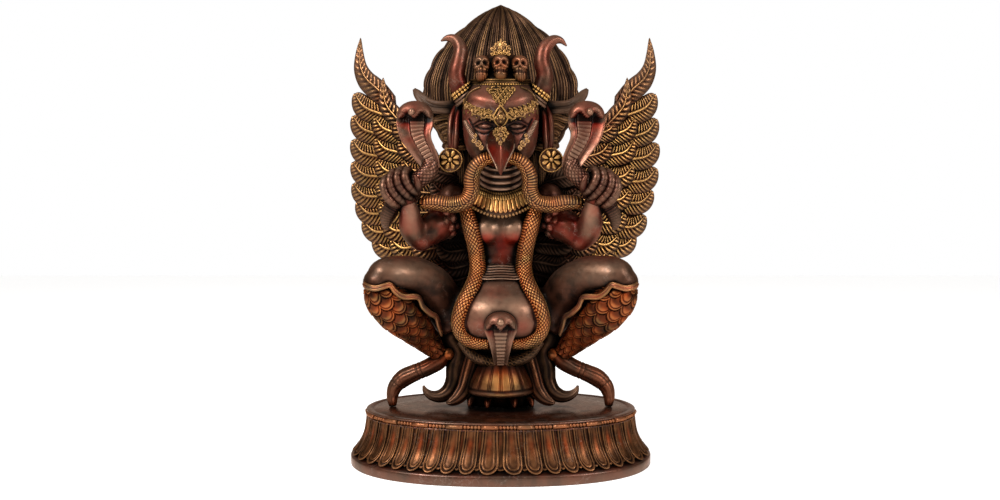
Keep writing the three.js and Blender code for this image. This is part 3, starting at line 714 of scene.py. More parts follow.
def ornaments(face, beak):
    """Gilt scrollwork on brow, forehead, beak and cheeks, with the gem between the eyes."""
    carving = Carving()

    def on_face(x, z, proud=0.4):
        return (x, min(surface_depth(face, x, z), surface_depth(beak, x, z) if z < 199 else 0) - proud, z)

    def on_brow(x, z, proud, *half):
        return (x, surface_depth(face, x, z) - proud, z, *half)

    for side in (LEFT, RIGHT):
        for i, (x, z) in enumerate(spline(BROW, np.linspace(0, 1, 7))):
            turn = math.pi * (i % 2)
            curl(carving, on_face(side * x, z - 0.4), 2.6, side, turn, 0.85, gilt=0.45, turns=1.1)
            above = on_face(side * (x + 1.2), z + 3.4, 0.1)
            curl(carving, above, 1.8, -side, 2.2, 0.75, gilt=0.45, turns=0.9)
            carving.boss(on_face(side * (x + 2.4), z + 2.2, 0.1), (1.3, 0.9, 1.1), 10, 7, gilt=0.45)
            carving.boss(on_face(side * (x + 1.6), z - 2.4, 0.1), (0.9, 0.8, 0.9), 8, 6, gilt=0.4)
        carving.sweep([(*on_face(side * x, z, 0.1), 1.1) for x, z in BROW_RIM], 8, 0.8, gilt=0.08)
        for x, z, radius in ((15.4, 187.4, 2.2), (18.4, 189.6, 1.7), (13.4, 184.6, 1.6), (17.4, 193, 1.2)):
            curl(carving, on_face(side * x, z, 0.8), radius, side, turn=1.5, gilt=0.6)
    for row, i, x, z in triangle_of_places((6, 5, 4, 3, 2, 1), pitch=3.35, top=226.4, drop=2.35):
        hand = RIGHT if (i + row) % 2 else LEFT
        curl(carving, on_face(x, z), 1.75, hand, turn=i + row, gilt=0.45, turns=1.1)
    for row, i, x, z in triangle_of_places((3, 4, 3, 2, 1), pitch=2.9, top=197.4, drop=2.6):
        curl(carving, on_face(x, z, 0.0), 1.45, RIGHT if x > 0 else LEFT, turn=1.2 + row, gilt=0.5)
    # The gem: a pointed drop with a raised rim and a boss.
    carving.sweep([on_brow(0, z, 0.1, wide, deep) for z, wide, deep in GEM], 32, 0.6, gilt=0.06)
    for side in (LEFT, RIGHT):
        carving.sweep([on_brow(side * x, z, 1.0, 0.62) for x, z in GEM_RIM], 8, 0.8, gilt=0.6)
    for x, z, radius in GEM_BEADS:
        carving.boss(on_brow(x, z, 2.2), (radius, 0.8, radius), 12, 8, gilt=0.5)
    cast("face_scrolls", carving, GILT_BRONZE)


def arc(centre, radii, start, end, radius, tilt, count=40):
    """Stations on an arc round a centre, seen from above, that falls by a tilt towards the front."""
    angle = np.radians(np.linspace(start, end, count))
    x, y, z = centre
    cos, sin = np.cos(angle), np.sin(angle)
    return list(zip(x + radii[0] * cos, y + radii[1] * sin, z + tilt * sin, [radius] * count))


# Crown.

SKULL_PITCH = 13.3
# The bands under the skulls: height, half width, thickness and gilding.
CROWN_BANDS = [(238.4, 21.4, 0.9, 0.2), (236.4, 21.8, 1.2, 0.08), (233.6, 22.3, 0.7, 0.25)]
CROWN_BASE = [(0, -15, 226, 20, 19), (0, -17, 233, 20.6, 20.6), (0, -17, 237, 20, 19)]
CROWN_BACK = [(0, -27, 234, 19, 7), (0, -26, 247, 17, 6.4), (0, -24, 256, 8, 6)]
# The flame of scrolls over the middle skull: on each side and in the middle, as (x, z, radius).
HALF_FLAME = [(3.2, 253.4, 1.9), (5.8, 252.6, 1.6), (5.6, 256.4, 2.0), (2.9, 259.8, 1.9)]
FLAME_MIDDLE = [(0, 253.2, 1.6), (0, 256.6, 1.7)]
FLAME_TIP = [(0, -33, 257, 1.5, 1.2), (0, -32.6, 260.5, 1.3, 1), (0, -32, 264, 0.3)]


def crown():
    carving = Carving()

    def bone(ball):
        x, z = np.abs(ball[..., 0]) * 5.9, ball[..., 2] * 6.2
        front = smooth_step(-ball[..., 1], 0.05, 0.5)
        sockets = swell(x, z, (2.7, -0.2), (1.9, 2.0), 1.0)
        nose = swell(x, z, (0, -3.4), (0.8, 1.2), 1.0)
        height = swell(x, z, (2.4, -0.4), (2.9, 3.0), 1.2) - 3.4 * sockets - 1.6 * nose
        height += swell(x, z, (4.3, -3.2), (1.3, 1.0), 0.8)
        return height * front, 1 - clamp(1.7 * np.maximum(sockets, nose) - 0.35) * front

    def teeth(on):
        gap = np.abs(np.sin(math.pi * on.at[..., 0] / 1.7 + math.pi / 2))
        height = -0.5 * (gap < 0.25) - 0.7 * peak(on.t, 0.45, 0.08)
        return height, clamp(1 + height)

    for place in (-1, 0, 1):
        x, y = SKULL_PITCH * place, -36 + 2 * abs(place)
        carving.boss((x, y, 245.4), (6.2, 5.6, 6.2), 56, 38, relief=bone, gilt=0.05, ruddy=0.3)
        jaw = [
            (x, y + 1, 242.4, 4.2, 3.6), (x, y - 0.6, 240, 4.9, 4.6), (x, y - 0.6, 237, 4.7, 4.4),
            (x, y + 1, 234.6, 4, 3.6),
        ]
        carving.sweep(jaw, 48, 0.34, relief=teeth, gilt=0.1, ruddy=0.3)
    for z, half, thick, gilt in CROWN_BANDS:
        band = arc((0, -17, z), (half, half), -172, -8, thick, tilt=5)
        carving.sweep(band, 10, 1.2, facing=UP, gilt=gilt)
    carving.sweep(CROWN_BASE, 60, 2, gilt=0.1)
    carving.sweep(CROWN_BACK, 40, 2)
    for side, scrolls in ((LEFT, HALF_FLAME), (RIGHT, HALF_FLAME), (RIGHT, FLAME_MIDDLE)):
        for x, z, radius in scrolls:
            at = (side * x, -34.5 + 0.25 * (z - 252), z)
            curl(carving, at, radius, side, turn=1.2, thick=0.5, gilt=0.85)
    carving.sweep(FLAME_TIP, 12, 0.6, gilt=1.0)
    cast("crown_of_skulls", carving, GILT_BRONZE)


# Horns and ears.

LEFT_HORN = [
    (-23.5, -22, 224, 6.8), (-29.3, -24, 232, 6.8), (-31.3, -26, 240.5, 6.1), (-29.4, -27, 250, 5.5),
    (-28.4, -27, 258.5, 4.9), (-32.5, -27, 265, 3.5), (-38, -27, 266, 2.2), (-42.4, -27, 264, 0.5),
]
RIGHT_HORN = [
    (23.5, -22, 223, 6.8), (29.3, -24, 231, 6.8), (31.3, -26, 240, 6.1), (29.1, -27, 249.5, 5.6),
    (31, -27, 258.5, 5), (37.5, -27, 264.6, 3.6), (42.5, -27, 264.4, 2.3), (46.8, -27, 260.5, 0.5),
]


def ring_round(start, over, share, radius, thick, count):
    """Stations round a horn's root, a share of the way from one of its stations to the next."""
    start, over = np.array(start[:3], float), np.array(over[:3], float)
    way = unit(over - start)
    across = unit(np.cross(way, FRONT))
    deep = np.cross(across, way)
    middle = start + (over - start) * share
    angle = np.linspace(0, 2 * math.pi, count)
    return [(*(middle + radius * (math.cos(a) * across + math.sin(a) * deep)), thick) for a in angle]


def horns():
    carving = Carving()
    for stations in (LEFT_HORN, RIGHT_HORN):
        carving.sweep(stations, 32, 0.9, ruddy=0.42)
        for share, radius, thick in ((0.1, 9.0, 1.2), (0.32, 8.3, 1.0)):
            ring = ring_round(*stations[:2], share, radius, thick, count=25)
            carving.sweep(ring, 10, 1.2, facing=UP, gilt=0.3)
    cast("horns", carving, SKIN_BRONZE)


EAR = [
    (22, -12, 218, 4, 3), (33.3, -15, 219.6, 4.4, 3), (41, -16, 219.5, 4, 3), (48.8, -15, 220.3, 4, 2.8),
    (54, -13, 223, 3.9, 2.6), (58, -11, 227, 3.3, 2.2), (61.5, -9, 231.4, 2.4, 1.8),
    (63.8, -8, 234.6, 0.6, 0.8),
]
LOBE = [(29, -14, 222, 4.6, 3), (33.3, -16, 210, 4.6, 3), (33.6, -18, 197, 4, 3), (35, -19, 184, 3.6, 3)]


def ears():
    carving = Carving()

    def shell(on):
        rim = np.cos(on.angle) ** 2
        bowl = clamp(np.sin(on.angle)) ** 2 * smooth_step(on.t, 0.02, 0.25)
        bowl = bowl * smooth_step(on.t, 0.95, 0.5)
        veins = 0.3 * np.sin(4 * math.pi * np.cos(on.angle)) * bowl
        return 0.7 * rim - 2.6 * bowl + veins, clamp(0.14 + 0.7 * rim**5 - 0.2 * bowl + veins)

    carving.pair(EAR, 40, 1, relief=shell)
    for shift, back in ((0, 0), (4.6, 1.5)):
        strap = [
            (27.5 + shift, -16 + back, 221, 2.2, 2.2),
            (30.8 + shift, -19 + back, 212, 2.3, 2.2),
            (31.8 + shift, -21 + back, 199, 2.1, 2.2),
            (33 + 0.6 * shift, -21 + back, 186, 1.9, 2),
        ]
        carving.pair(strap, 16, 1, ruddy=0.3)
    carving.pair(LOBE, 20, 1.5, ruddy=0.2)
    cast("ears", carving, SKIN_BRONZE)


ROSETTE_PETALS = 8
ROSETTE_PLACE = (36, 180)
# A rosette's petal, as (distance from the middle, half width).
ROSETTE_PETAL = [(2.3, 0.4), (3.4, 0.9), (5.2, 1.55), (6.3, 1.3), (7, 0.4)]


def rosettes():
    carving = Carving()
    out, z = ROSETTE_PLACE
    for x in (-out, out):
        disc = [(x, -17, z, 8.4), (x, -23.4, z, 8.6), (x, -24.2, z, 8.2), (x, -24.4, z, 6)]
        carving.sweep(disc, 48, 0.7, facing=UP)
        carving.boss((x, -25.6, z), (1.7, 1.6, 1.7), 16, 10, gilt=1.0)
        for i in range(ROSETTE_PETALS):
            a = 2 * math.pi * (i + 0.5) / ROSETTE_PETALS
            stations = [(x + r * math.cos(a), -24.6, z + r * math.sin(a), w, 1.4) for r, w in ROSETTE_PETAL]
            carving.sweep(stations, 14, 0.6, gilt=1.0)
    cast("earring_rosettes", carving, GILT_BRONZE)


# Hair: a spade-shaped mass of combed strands, whose locks end in soft scallops.

HAIR = [
    (0, 10, 160, 32, 8), (0, 10, 166, 36, 10), (0, 10, 174, 36.5, 11), (0, 10, 188, 35.6, 14),
    (0, 10, 204, 47, 16), (0, 10, 221, 56, 17), (0, 10, 239, 58.5, 17), (0, 10, 256, 53, 16),
    (0, 10, 272, 42.5, 14), (0, 10, 286, 27, 12), (0, 11, 297, 12, 7), (0, 12, 304.0, 1.0, 1.2),
]
STRANDS = 112
LOCKS = 22
SIDE_LOCKS = 5


def stranded(turns, pitch, lift, shine):
    """Strands that run round a rope as it goes, with dark grooves between."""

    def relief(on):
        strand = np.abs(np.sin(turns * on.angle + math.pi * on.s / pitch))
        return lift * strand, 0.25 + shine * strand

    return relief


def combed(on):
    flow = on.p + 0.0015 * np.sin(on.s / 17 + 40 * on.p)
    flow = flow + 0.012 * np.sin(2 * math.pi * on.p) * np.sin(on.t * math.pi)
    strand = np.abs(np.sin(math.pi * flow * STRANDS))
    lock = np.abs(np.sin(math.pi * flow * LOCKS + 0.6 * np.sin(on.s / 23)))
    thin = smooth_step(on.t, 1.0, 0.955)
    scallop = np.abs(np.sin(math.pi * (on.t * 9 + 0.8 * np.sin(on.angle)))) ** 0.6
    side_on = np.abs(np.cos(on.angle)) ** 12
    height = (0.8 * strand**0.8 + 1.5 * lock**0.5 - 1.5) * thin + (1.8 * scallop - 0.8) * side_on * thin
    uneven = 0.5 + 0.5 * np.sin(flow * 61.0) * np.sin(flow * 157.0 + on.s / 19)
    return height, clamp(0.1 + 0.92 * strand**0.8 * lock**0.3 * (0.5 + 0.5 * uneven))


def hair():
    carving = Carving()
    carving.sweep(HAIR, 580, 2.2, relief=combed, dense_front=0.4, gilt=0.3)
    twist = stranded(4, pitch=9 * math.pi, lift=0.4, shine=0.7)
    # Side locks that run out under the ears.
    for i in range(SIDE_LOCKS):
        z, reach = 213 - 5.2 * i, 50 - 3.2 * i
        lock = [
            (24, -4, z + 2, 3.2, 3.6), (32, -6, z + 0.5, 3.1, 3.8), (40, -5, z + 1.5, 2.9, 3.6),
            (reach - 2, -1, z + 0.5, 2.3, 3), (reach, 4, z + 2, 1, 1.6),
        ]
        carving.pair(lock, 28, 1.6, relief=twist, gilt=0.5, ruddy=0.2)
    cast("hair", carving, HAIR_BRONZE)


# Neck and collar.

# The neck's rings dip towards the front.
NECK_RING_PITCH = 6.2
NECK_TILT = 0.7
THROAT = [(0, 0, 153, 17, 15), (0, -5, 162, 15.8, 14.2), (0, -13, 173, 15.3, 14), (0, -17, 183, 16, 14.5)]
COLLAR = [
    (0, -1, 163.5, 15.5, 16.5), (0, -1, 162, 18, 18.2), (0, -1, 158.6, 19.4, 18.6),
    (0, -1, 155.5, 21.8, 19.8), (0, -1, 152, 24.6, 21.2), (0, -1, 150.2, 26, 22), (0, -1, 149, 25, 21.2),
    (0, -1, 148.4, 21, 18),
]
COLLAR_PETALS = 42
# How far the collar hangs lower in front than at the sides.
COLLAR_DIP = 8.4
COLLAR_REACH = 22


def collar_drop(y):
    return COLLAR_DIP * np.clip(-y / COLLAR_REACH, 0, 1.1) ** 3


def neck():
    carving = Carving()

    def rings(on):
        level = on.at[..., 2] - NECK_TILT * on.at[..., 1]
        wave = np.cos(2 * math.pi * level / NECK_RING_PITCH)
        return 0.75 * wave, clamp(0.62 + 0.5 * wave)

    carving.sweep(THROAT, 56, 0.6, relief=rings, gilt=0.5)
    cast("neck", carving, SKIN_BRONZE)


def collar():
    carving = Carving()

    def lotus(on):
        turn = np.abs(part(on.p * COLLAR_PETALS + 0.5) * 2 - 1)
        tip = 0.66 + 0.16 * np.sqrt(1 - turn**2)
        inside = smooth_step(on.t, 0.2, 0.24) * smooth_step(on.t, tip, tip - 0.04)
        inside = inside * smooth_step(turn, 1.0, 0.7)
        line = 0.3 * peak(turn, 0.35, 0.12)
        height = (1.1 * (1 - 0.3 * turn**2) - 0.35 * line) * inside
        return height, clamp(0.08 + (0.92 - 0.65 * line) * inside)

    def dipped(surface):
        """Lowers a level ring's front."""
        points, crest = surface
        return points - UP * collar_drop(points[..., 1:2]), crest

    petals = loft(COLLAR, 10 * COLLAR_PETALS, 0.5, relief=lotus, level=True)
    carving.skin(dipped(petals), gilt=0.68, ruddy=0.8)
    twisted = stranded(0.5, pitch=1.7, lift=0.35, shine=0.75)
    for z, half, thick, shine in ((159.6, (19.4, 18.6), 1.45, 0.95), (162.4, (17.9, 18), 0.8, 0.35)):
        ring = arc((0, -1, z), half, -200, 160, thick, tilt=0, count=120)
        carving.skin(dipped(loft(ring, 10, 0.5, facing=UP, relief=twisted)), gilt=shine)
    cast("collar", carving, GILT_BRONZE)


# Serpents.

PLATE_PITCH = 1.9


def scaly(columns, pitch, depth, belly=None):
    """Lozenge scales, with a strip of cross plates round a share of the girth where one is named."""

    def relief(on):
        row, turn = on.s / pitch, on.p * columns
        u, v = part(row + turn), part(row - turn)
        edge = 2 * np.minimum(np.minimum(u, 1 - u), np.minimum(v, 1 - v))
        dome = np.sqrt(clamp(edge * 1.4))
        height, crest = depth * (dome - 0.6), smooth_step(edge, 0.06, 0.52)
        if belly:
            centre, half = belly
            off = np.abs(part(on.p - centre + 0.5) - 0.5) / half
            plate = np.abs(np.sin(math.pi * on.s / PLATE_PITCH))
            plates = depth * (0.9 * plate**0.6 - 0.25)
            inside = smooth_step(off, 1.08, 0.92)
            border = peak(off, 1.0, 0.09)
            height = height + (plates - height) * inside - 0.4 * depth * border
            crest = crest + (0.9 * plate**1.7 - crest) * inside - 0.6 * border
        return height, clamp(crest)

    return relief


BODY_SERPENT = [
    (25.5, -7, 153, 4.2), (24.8, -12, 144, 5.2), (21.6, -13.5, 132, 6), (19, -12, 121, 5.9),
    (17.4, -10, 110, 5.8), (16.8, -14, 99, 5.9), (20.8, -22.5, 87, 6), (26.8, -27.5, 75, 5.8),
    (29.4, -27, 63.5, 5.4), (26.4, -26.5, 55, 5), (18.5, -28, 50.6, 4.5), (8, -31, 49.6, 3.4),
]
TAIL_LOOP = [
    (-28.5, -14, 50, 4), (-18.5, -17, 39.5, 4.8), (0, -19, 34.5, 4.8), (18.5, -17, 39.5, 4.8),
    (28.5, -14, 50, 4),
]


def serpents():
    carving = Carving()
    for side in (LEFT, RIGHT):
        # The belly plates lie towards the figure's middle.
        scales = scaly(14, pitch=3.1, depth=0.62, belly=(-0.15 * side, 0.075))
        line = on_side(side, BODY_SERPENT)
        carving.sweep(line, 62, 0.56, relief=scales, dense_front=0.6, gilt=0.62, ruddy=1)
    carving.sweep(TAIL_LOOP, 36, 0.9, relief=scaly(12, pitch=3, depth=0.4), gilt=0.1)
    cast("body_serpents", carving, GILT_BRONZE)


BEAK_SERPENT = [
    (57, -23, 149.5, 3.2), (54.5, -25, 149.5, 4.2), (46.5, -26, 149.5, 5.2), (34.7, -26, 148, 5.6),
    (24.7, -28, 150.5, 5.5), (20.8, -30, 157.5, 5.4), (20.3, -33, 166.5, 5.2), (16.7, -36, 174.5, 4.9),
    (11, -38, 178.5, 4.3),
]


def beak_serpent():
    carving = Carving()
    whole = [*on_side(LEFT, BEAK_SERPENT), (0, -40, 180, 4), *on_side(RIGHT, BEAK_SERPENT)[::-1]]
    scales = scaly(14, pitch=3.0, depth=0.6, belly=(0.07, 0.13))
    carving.sweep(whole, 62, 0.48, relief=scales, dense_front=0.6, gilt=0.78, ruddy=0.9)
    cast("beak_serpent", carving, GILT_BRONZE)


def hood_relief(offset, share):
    """Wide plates across the hood's column, with a line cut along each side of it."""

    def relief(on):
        across = np.cos(on.angle)
        front = np.sin(on.angle) > 0
        off = np.abs(across - offset)
        column = smooth_step(off, share + 0.03, share - 0.03) * front
        plate = np.abs(np.sin(math.pi * on.s / 2.8)) ** 0.45
        line = peak(off, share + 0.02, 0.035) * front
        height = column * (0.75 * plate + 0.1) - 0.5 * line
        flank = smooth_step(np.abs(across), 0.97, 0.8) * (1 - column)
        # Painted shade darkens the hood's top under the overhanging head, and reaches lower on the flanks.
        shade = (0.3 * smooth_step(on.t, 0.6, 0.8) * flank + 0.9 * smooth_step(on.t, 0.77, 0.87)) * front
        return height, clamp(0.95 - 0.8 * column * (1 - plate) - 0.6 * line - shade)

    return relief


def cobra(carving, hood, column, head, snout, gilt, ruddy):
    """A hood with its column of plates, under a rounded head whose brow overhangs it."""
    around, dense = 84, 0.5
    surface = loft(hood, around, 0.7, hooded(*column), relief=hood_relief(*column), dense_front=dense)
    # The hollows under the head glow red, and the column of plates stays brown.
    up = np.linspace(0, 1, len(surface[0]))[:, None]
    off = np.abs(np.cos(ring_angles(around, dense)) - column[0])
    flank = 0.3 + 0.7 * smooth_step(off, column[1] - 0.03, column[1] + 0.03)
    glow = ruddy * (0.4 + 0.8 * smooth_step(up, 0.4, 0.7)) * flank
    carving.skin(surface, gilt=gilt * (1 - 0.6 * up) * (1.3 - 0.6 * flank), ruddy=clamp(glow))

    def brow(ball):
        x, z = np.abs(ball[..., 0]), ball[..., 2]
        arch = -0.42 + 0.58 * peak(x, 0.48, 0.3)
        under = smooth_step(arch - z, -0.05, 0.08) * smooth_step(-ball[..., 1], 0, 0.4)
        lid = peak(z - arch, 0.14, 0.05) * (1 - under) * smooth_step(x, 0.9, 0.7)
        # The cut-back underside of the brow is painted in shade.
        return -5.0 * under - 0.35 * lid, clamp(1 - 1.1 * under - 0.6 * lid)

    carving.boss(*head, 60, 38, relief=brow, gilt=0.2 * gilt, ruddy=0.1 + 0.4 * ruddy)
    carving.boss(*snout, 20, 12, gilt=gilt, ruddy=0.4 * ruddy)
    (x, y, z), size = snout
    for side in (LEFT, RIGHT):
        eye = (x + side * 1.35 * size[0], y + 1.4, z + 0.95 * size[2])
        carving.boss(eye, (1.0, 1.0, 0.9), 14, 9, gilt=0.3)


BELLY_HOOD = [
    (0, -27, 36, 4.6, 4.4), (0, -33, 43, 6, 4.6), (0, -37, 49.5, 7.5, 4.6), (0, -39.5, 55.5, 9.3, 4.4),
    (0, -41, 60.5, 11.2, 4.4), (0, -41.5, 64, 11, 4), (0, -41, 67, 8, 3),
]
HAND_HOOD = [
    (48.5, -31.5, 172, 6, 5), (50.4, -32, 178, 7.4, 5), (53.6, -32.4, 184, 8.4, 5),
    (57.2, -32.4, 190.5, 9.4, 5), (59.6, -32, 197, 11.4, 4.8), (60.2, -31, 204, 12.9, 4.6),
    (60.2, -30.4, 209.5, 12.4, 4.4), (60.4, -30, 213, 9, 3.6),
]
HAND_NECK = [
    (48.6, -31, 178, 5.6), (50.5, -31.5, 171.5, 6.4), (56, -32, 166, 6.3), (62, -31, 161.5, 6),
    (68, -30, 157, 6),
]
HAND_TAIL = [
    (68, -27, 157, 6), (73.5, -27, 151, 6.2), (78.5, -26.5, 144, 5.6), (81.4, -25.5, 137.5, 4.4),
    (81.4, -25, 132.5, 2.6), (80, -25, 130, 0.8),
]


def cobras():
    carving = Carving()
    head, snout = ((0, -40.4, 63.4), (11.2, 6.8, 9.6)), ((0, -46, 66.2), (2.7, 3, 2.8))
    cobra(carving, BELLY_HOOD, (0.0, 0.43), head, snout, gilt=0.5, ruddy=0.4)
    for side in (LEFT, RIGHT):
        head = ((side * 60.4, -30, 210.6), (12.8, 7.6, 10.2))
        snout = ((side * 61.8, -36.8, 211.4), (2.6, 3.2, 2.7))
        cobra(carving, on_side(side, HAND_HOOD), (-0.14 * side, 0.4), head, snout, gilt=0.35, ruddy=0.85)
        scales = scaly(12, pitch=3, depth=0.5, belly=(0.0, 0.16))
        coil, crest = loft(on_side(side, HAND_TAIL), 50, 0.7, relief=scales)
        carving.skin((coil, 0.7 * crest), gilt=0.1, ruddy=0.1)
    carving.pair(HAND_NECK, 50, 0.7, relief=scaly(12, pitch=3, depth=0.6), gilt=0.25, ruddy=0.3)
    cast("cobras", carving, SKIN_BRONZE)


# Hands.

# The four fingers over the cobra's neck as [out, up], from behind its top round to the palm.
FINGERS = [
    [(62.5, 170.5), (65.2, 171.6), (66.6, 167.3), (64.4, 161), (60.4, 156.2), (58, 155)],
    [(67.5, 171.5), (70.2, 171.6), (72, 166), (69.8, 158.8), (64.6, 153), (61.5, 151)],
    [(72.5, 170.5), (75.2, 170), (77, 163.7), (74.8, 156.2), (69, 149.8), (66, 148)],
    [(77, 167), (79.6, 166.2), (81.2, 159.8), (79.2, 153.4), (73.8, 147.4), (71, 146.4)],
]
# How far back each knuckle lies and how thick it is.
FINGER_DEPTHS = [(-29, 1.8), (-34, 2.8), (-37.6, 3.1), (-37.8, 3.1), (-35, 2.8), (-32, 1.6)]
THUMB = [(63, -27, 153.5, 3.4), (58.8, -32.5, 157.5, 3.2), (57.6, -36.6, 162.5, 2.8), (59.5, -38, 167.5, 1.2)]
WRIST = [(66, -27.5, 149, 6.6), (68, -30, 157, 7.2), (69.5, -30.5, 162, 6)]
# The armbands: rows of bosses round the upper arm.
BAND_ROWS, BAND_BOSSES = 2, 10
BAND_RADIUS = 10.4


def hands():
    carving = Carving()

    def creases(on):
        wrinkle = np.exp(-((part(on.s / 3.4) - 0.5) ** 2) / 0.014)
        # Painted light: each finger's front is lighter and its back darker, in painted shade.
        top = clamp(np.sin(on.angle))
        return -0.16 * wrinkle, clamp(0.18 + 0.56 * top - 0.24 * wrinkle)

    for finger in FINGERS:
        knuckles = [(out, y, up, half) for (out, up), (y, half) in zip(finger, FINGER_DEPTHS)]
        carving.pair(knuckles, 20, 0.75, relief=creases, gilt=0.15, ruddy=0.1)
    carving.pair(THUMB, 24, 0.8, ruddy=0.2)
    carving.pair(WRIST, 28, 1.2, ruddy=0.4)
    for side in (LEFT, RIGHT):
        carving.boss((side * 71, -30.5, 162), (11.5, 6.8, 11), 32, 20, ruddy=0.2)
        along = unit(np.array([6.0 * side, -4.5, -8.2]))
        across = unit(np.cross(along, UP))
        over = np.cross(across, along)
        for row in range(BAND_ROWS):
            for i in range(BAND_BOSSES):
                a = 2 * math.pi * (i + 0.5 * row) / BAND_BOSSES
                out = BAND_RADIUS * (math.cos(a) * across + math.sin(a) * over)
                centre = np.array([side * 43, -2, 137.4]) + along * (5.8 * row - 2.4) + out
                carving.boss(centre, (3.6, 3.2, 3.6), 12, 8, gilt=0.1, ruddy=0.7)
    cast("hands_and_armbands", carving, SKIN_BRONZE)


# Legs.


def overlapping(rows, columns):
    """Round scales that overlap downwards, each with a double edge."""

    def relief(on):
        row = on.t * rows
        height, crest = np.zeros_like(row), np.zeros_like(row)
        taken = np.zeros(row.shape, bool)
        for back in (1, 0):
            k = np.floor(row) - back
            turn = part(on.p * columns + 0.5 * (k % 2)) * 2 - 1
            end = 0.95 + 0.62 * np.sqrt(clamp(1 - turn**2))
            reach = row - k
            inside = (reach < end) & ~taken
            left = (end - reach) * np.clip(1 - 0.55 * turn**2, 0.2, 1)
            rim = smooth_step(left, 0.04, 0.2)
            line = peak(left, 0.32, 0.075)
            dome = 0.55 + 0.75 * reach / 1.6 + 0.45 * (1 - turn**2) - 0.45 * line
            height = np.where(inside, dome * (0.25 + 0.75 * rim), height)
            # Painted shade: each scale is darker at its root under the scale above and lighter towards its
            # free edge.
            fade = 0.4 + 0.6 * smooth_step(reach / end, 0.35, 0.85)
            crest = np.where(inside, clamp(rim * fade * (1 - 0.9 * line)), crest)
            taken |= inside
        return 0.95 * height - 0.7, crest

    return relief


CALF = [
    (86.5, -34, 93, 10), (81.8, -31.5, 84.5, 14.6), (73.2, -26, 72.5, 15.2), (63.5, -17, 61, 12.6),
    (55, -8, 50, 9.4), (46, -3, 39.5, 6),
]
FOOT = [
    (41, 0, 38.5, 5.4, 6.5), (46, 0.5, 33.4, 6.6, 7.6), (55, 1, 28, 6.5, 7.4), (65, 1, 23.8, 6.6, 7.4),
    (73, 1, 19.8, 7, 7.6), (79, 0, 13.8, 5.8, 6.6), (80.9, -2, 7, 4.4, 5.4), (80.4, -4, 2, 3.2, 4.2),
    (80.3, -4.3, 0.2, 2.6, 3.4),
]
HEM = [
    (94, -39, 92, 1.6), (91, -44, 91, 2.2), (84.5, -47, 89.8, 2.4), (78, -46.6, 91.5, 2.4),
    (75.4, -45, 92, 2.3), (72, -43.4, 87.5, 2.3), (67, -40.4, 83.8, 2.3), (60, -35.6, 83.5, 2.2),
    (57.5, -33, 82.6, 2.2), (55, -30.5, 76.5, 2.2), (50, -25, 71, 2.2), (46.5, -20.6, 68.4, 2.1),
    (45, -17, 62, 2), (43, -13, 55, 1.4),
]
TOE_LINES = (0.36, 0.41, 0.6, 0.66, 0.72)


def legs():
    carving = Carving()

    def toe_lines(on):
        fade = smooth_step(on.t, 0.08, 0.3) * smooth_step(on.t, 0.98, 0.75)
        cut = (1 - np.abs(np.sin(3 * on.angle)) ** 0.5) * fade
        for place in TOE_LINES:
            cut = np.maximum(cut, peak(on.t, place, 0.006))
        return -0.5 * cut, 1 - 0.75 * cut

    scales = overlapping(rows=11, columns=9)
    carving.pair(CALF, 128, 0.64, relief=scales, dense_front=0.4, gilt=0.3, ruddy=0.9)
    carving.pair(FOOT, 48, 1.0, relief=toe_lines, ruddy=0.25)
    for drop, thick in ((0.9, 0.85), (-1.5, 1.0)):
        cord = [(x, y - 1.6, z + drop, min(half, thick)) for x, y, z, half in HEM]
        carving.pair(cord, 10, 1.2, gilt=0.25, ruddy=0.5)
    band = [(x, y + 0.6, z - 0.4, 0.85 * half, 1.3 * half) for x, y, z, half in HEM]
    carving.pair(band, 14, 1.4, ruddy=0.6)
    for side in (LEFT, RIGHT):
        carving.boss((side * 39.5, -2, 38.5), (5, 5, 5), 24, 16, ruddy=0.9, gilt=0.1)
    cast("legs", carving, GILT_BRONZE)


# Tail.

APRON_RIBS = 16
OUTER_PLUME = [
    (37, 10, 64, 12.5), (36, 9, 50, 13), (31, 5, 38, 9), (33.2, 2.5, 28, 7.9), (34.4, 1, 18, 7.2),
    (38.5, -1, 10.6, 6.2), (45.5, -3, 7.2, 4.6), (52, -4, 8.2, 3.2), (55.8, -4.6, 11.4, 2.1),
    (57.4, -5, 15.4, 0.5),
]
INNER_PLUME = [
    (19, 0, 38, 7.5, 6), (23, -4, 24, 7, 4.6), (26.5, -7.6, 13.5, 6.2, 3.8), (32, -10, 7, 4.6, 2.8),
    (37, -12, 4.6, 2.6, 1.8), (39.8, -12.6, 4.4, 0.4),
]
APRON = [
    (0, -10, 41, 10.5, 11), (0, -9.5, 33, 14.8, 14), (0, -8.6, 25, 19, 16.8), (0, -8, 18.5, 22, 19),
    (0, -7, 13.4, 23.6, 20.4), (0, -7, 11.2, 23, 19.6), (0, -7, 9.6, 18, 15),
]
APRON_CORE = [(0, 4, 16, 24, 14), (0, 4, 8, 27, 15), (0, 4, 0.2, 24, 13)]


def plume(ribs):
    def relief(on):
        rib = np.abs(np.sin(ribs * on.angle / 2))
        return 0.6 * rib**0.6 - 0.3, 0.1 + 0.65 * rib**0.8

    return relief


def fan(on):
    """The apron's ribs, each with a groove along both sides, over a plain rim."""
    turn = np.abs(part(on.p * APRON_RIBS) * 2 - 1)
    panel = (smooth_step(turn, 0.97, 0.88) - 0.85 * peak(turn, 0.72, 0.05)) * smooth_step(on.t, 0.84, 0.78)
    rim = peak(on.t, 0.9, 0.05)
    # Painted shade darkens the apron towards its top, under the belly.
    light = 0.12 + 0.88 * smooth_step(on.t, 0.2, 0.62)
    return 0.8 * panel + 0.9 * rim, clamp(0.1 + 0.85 * panel * light + 0.75 * rim)


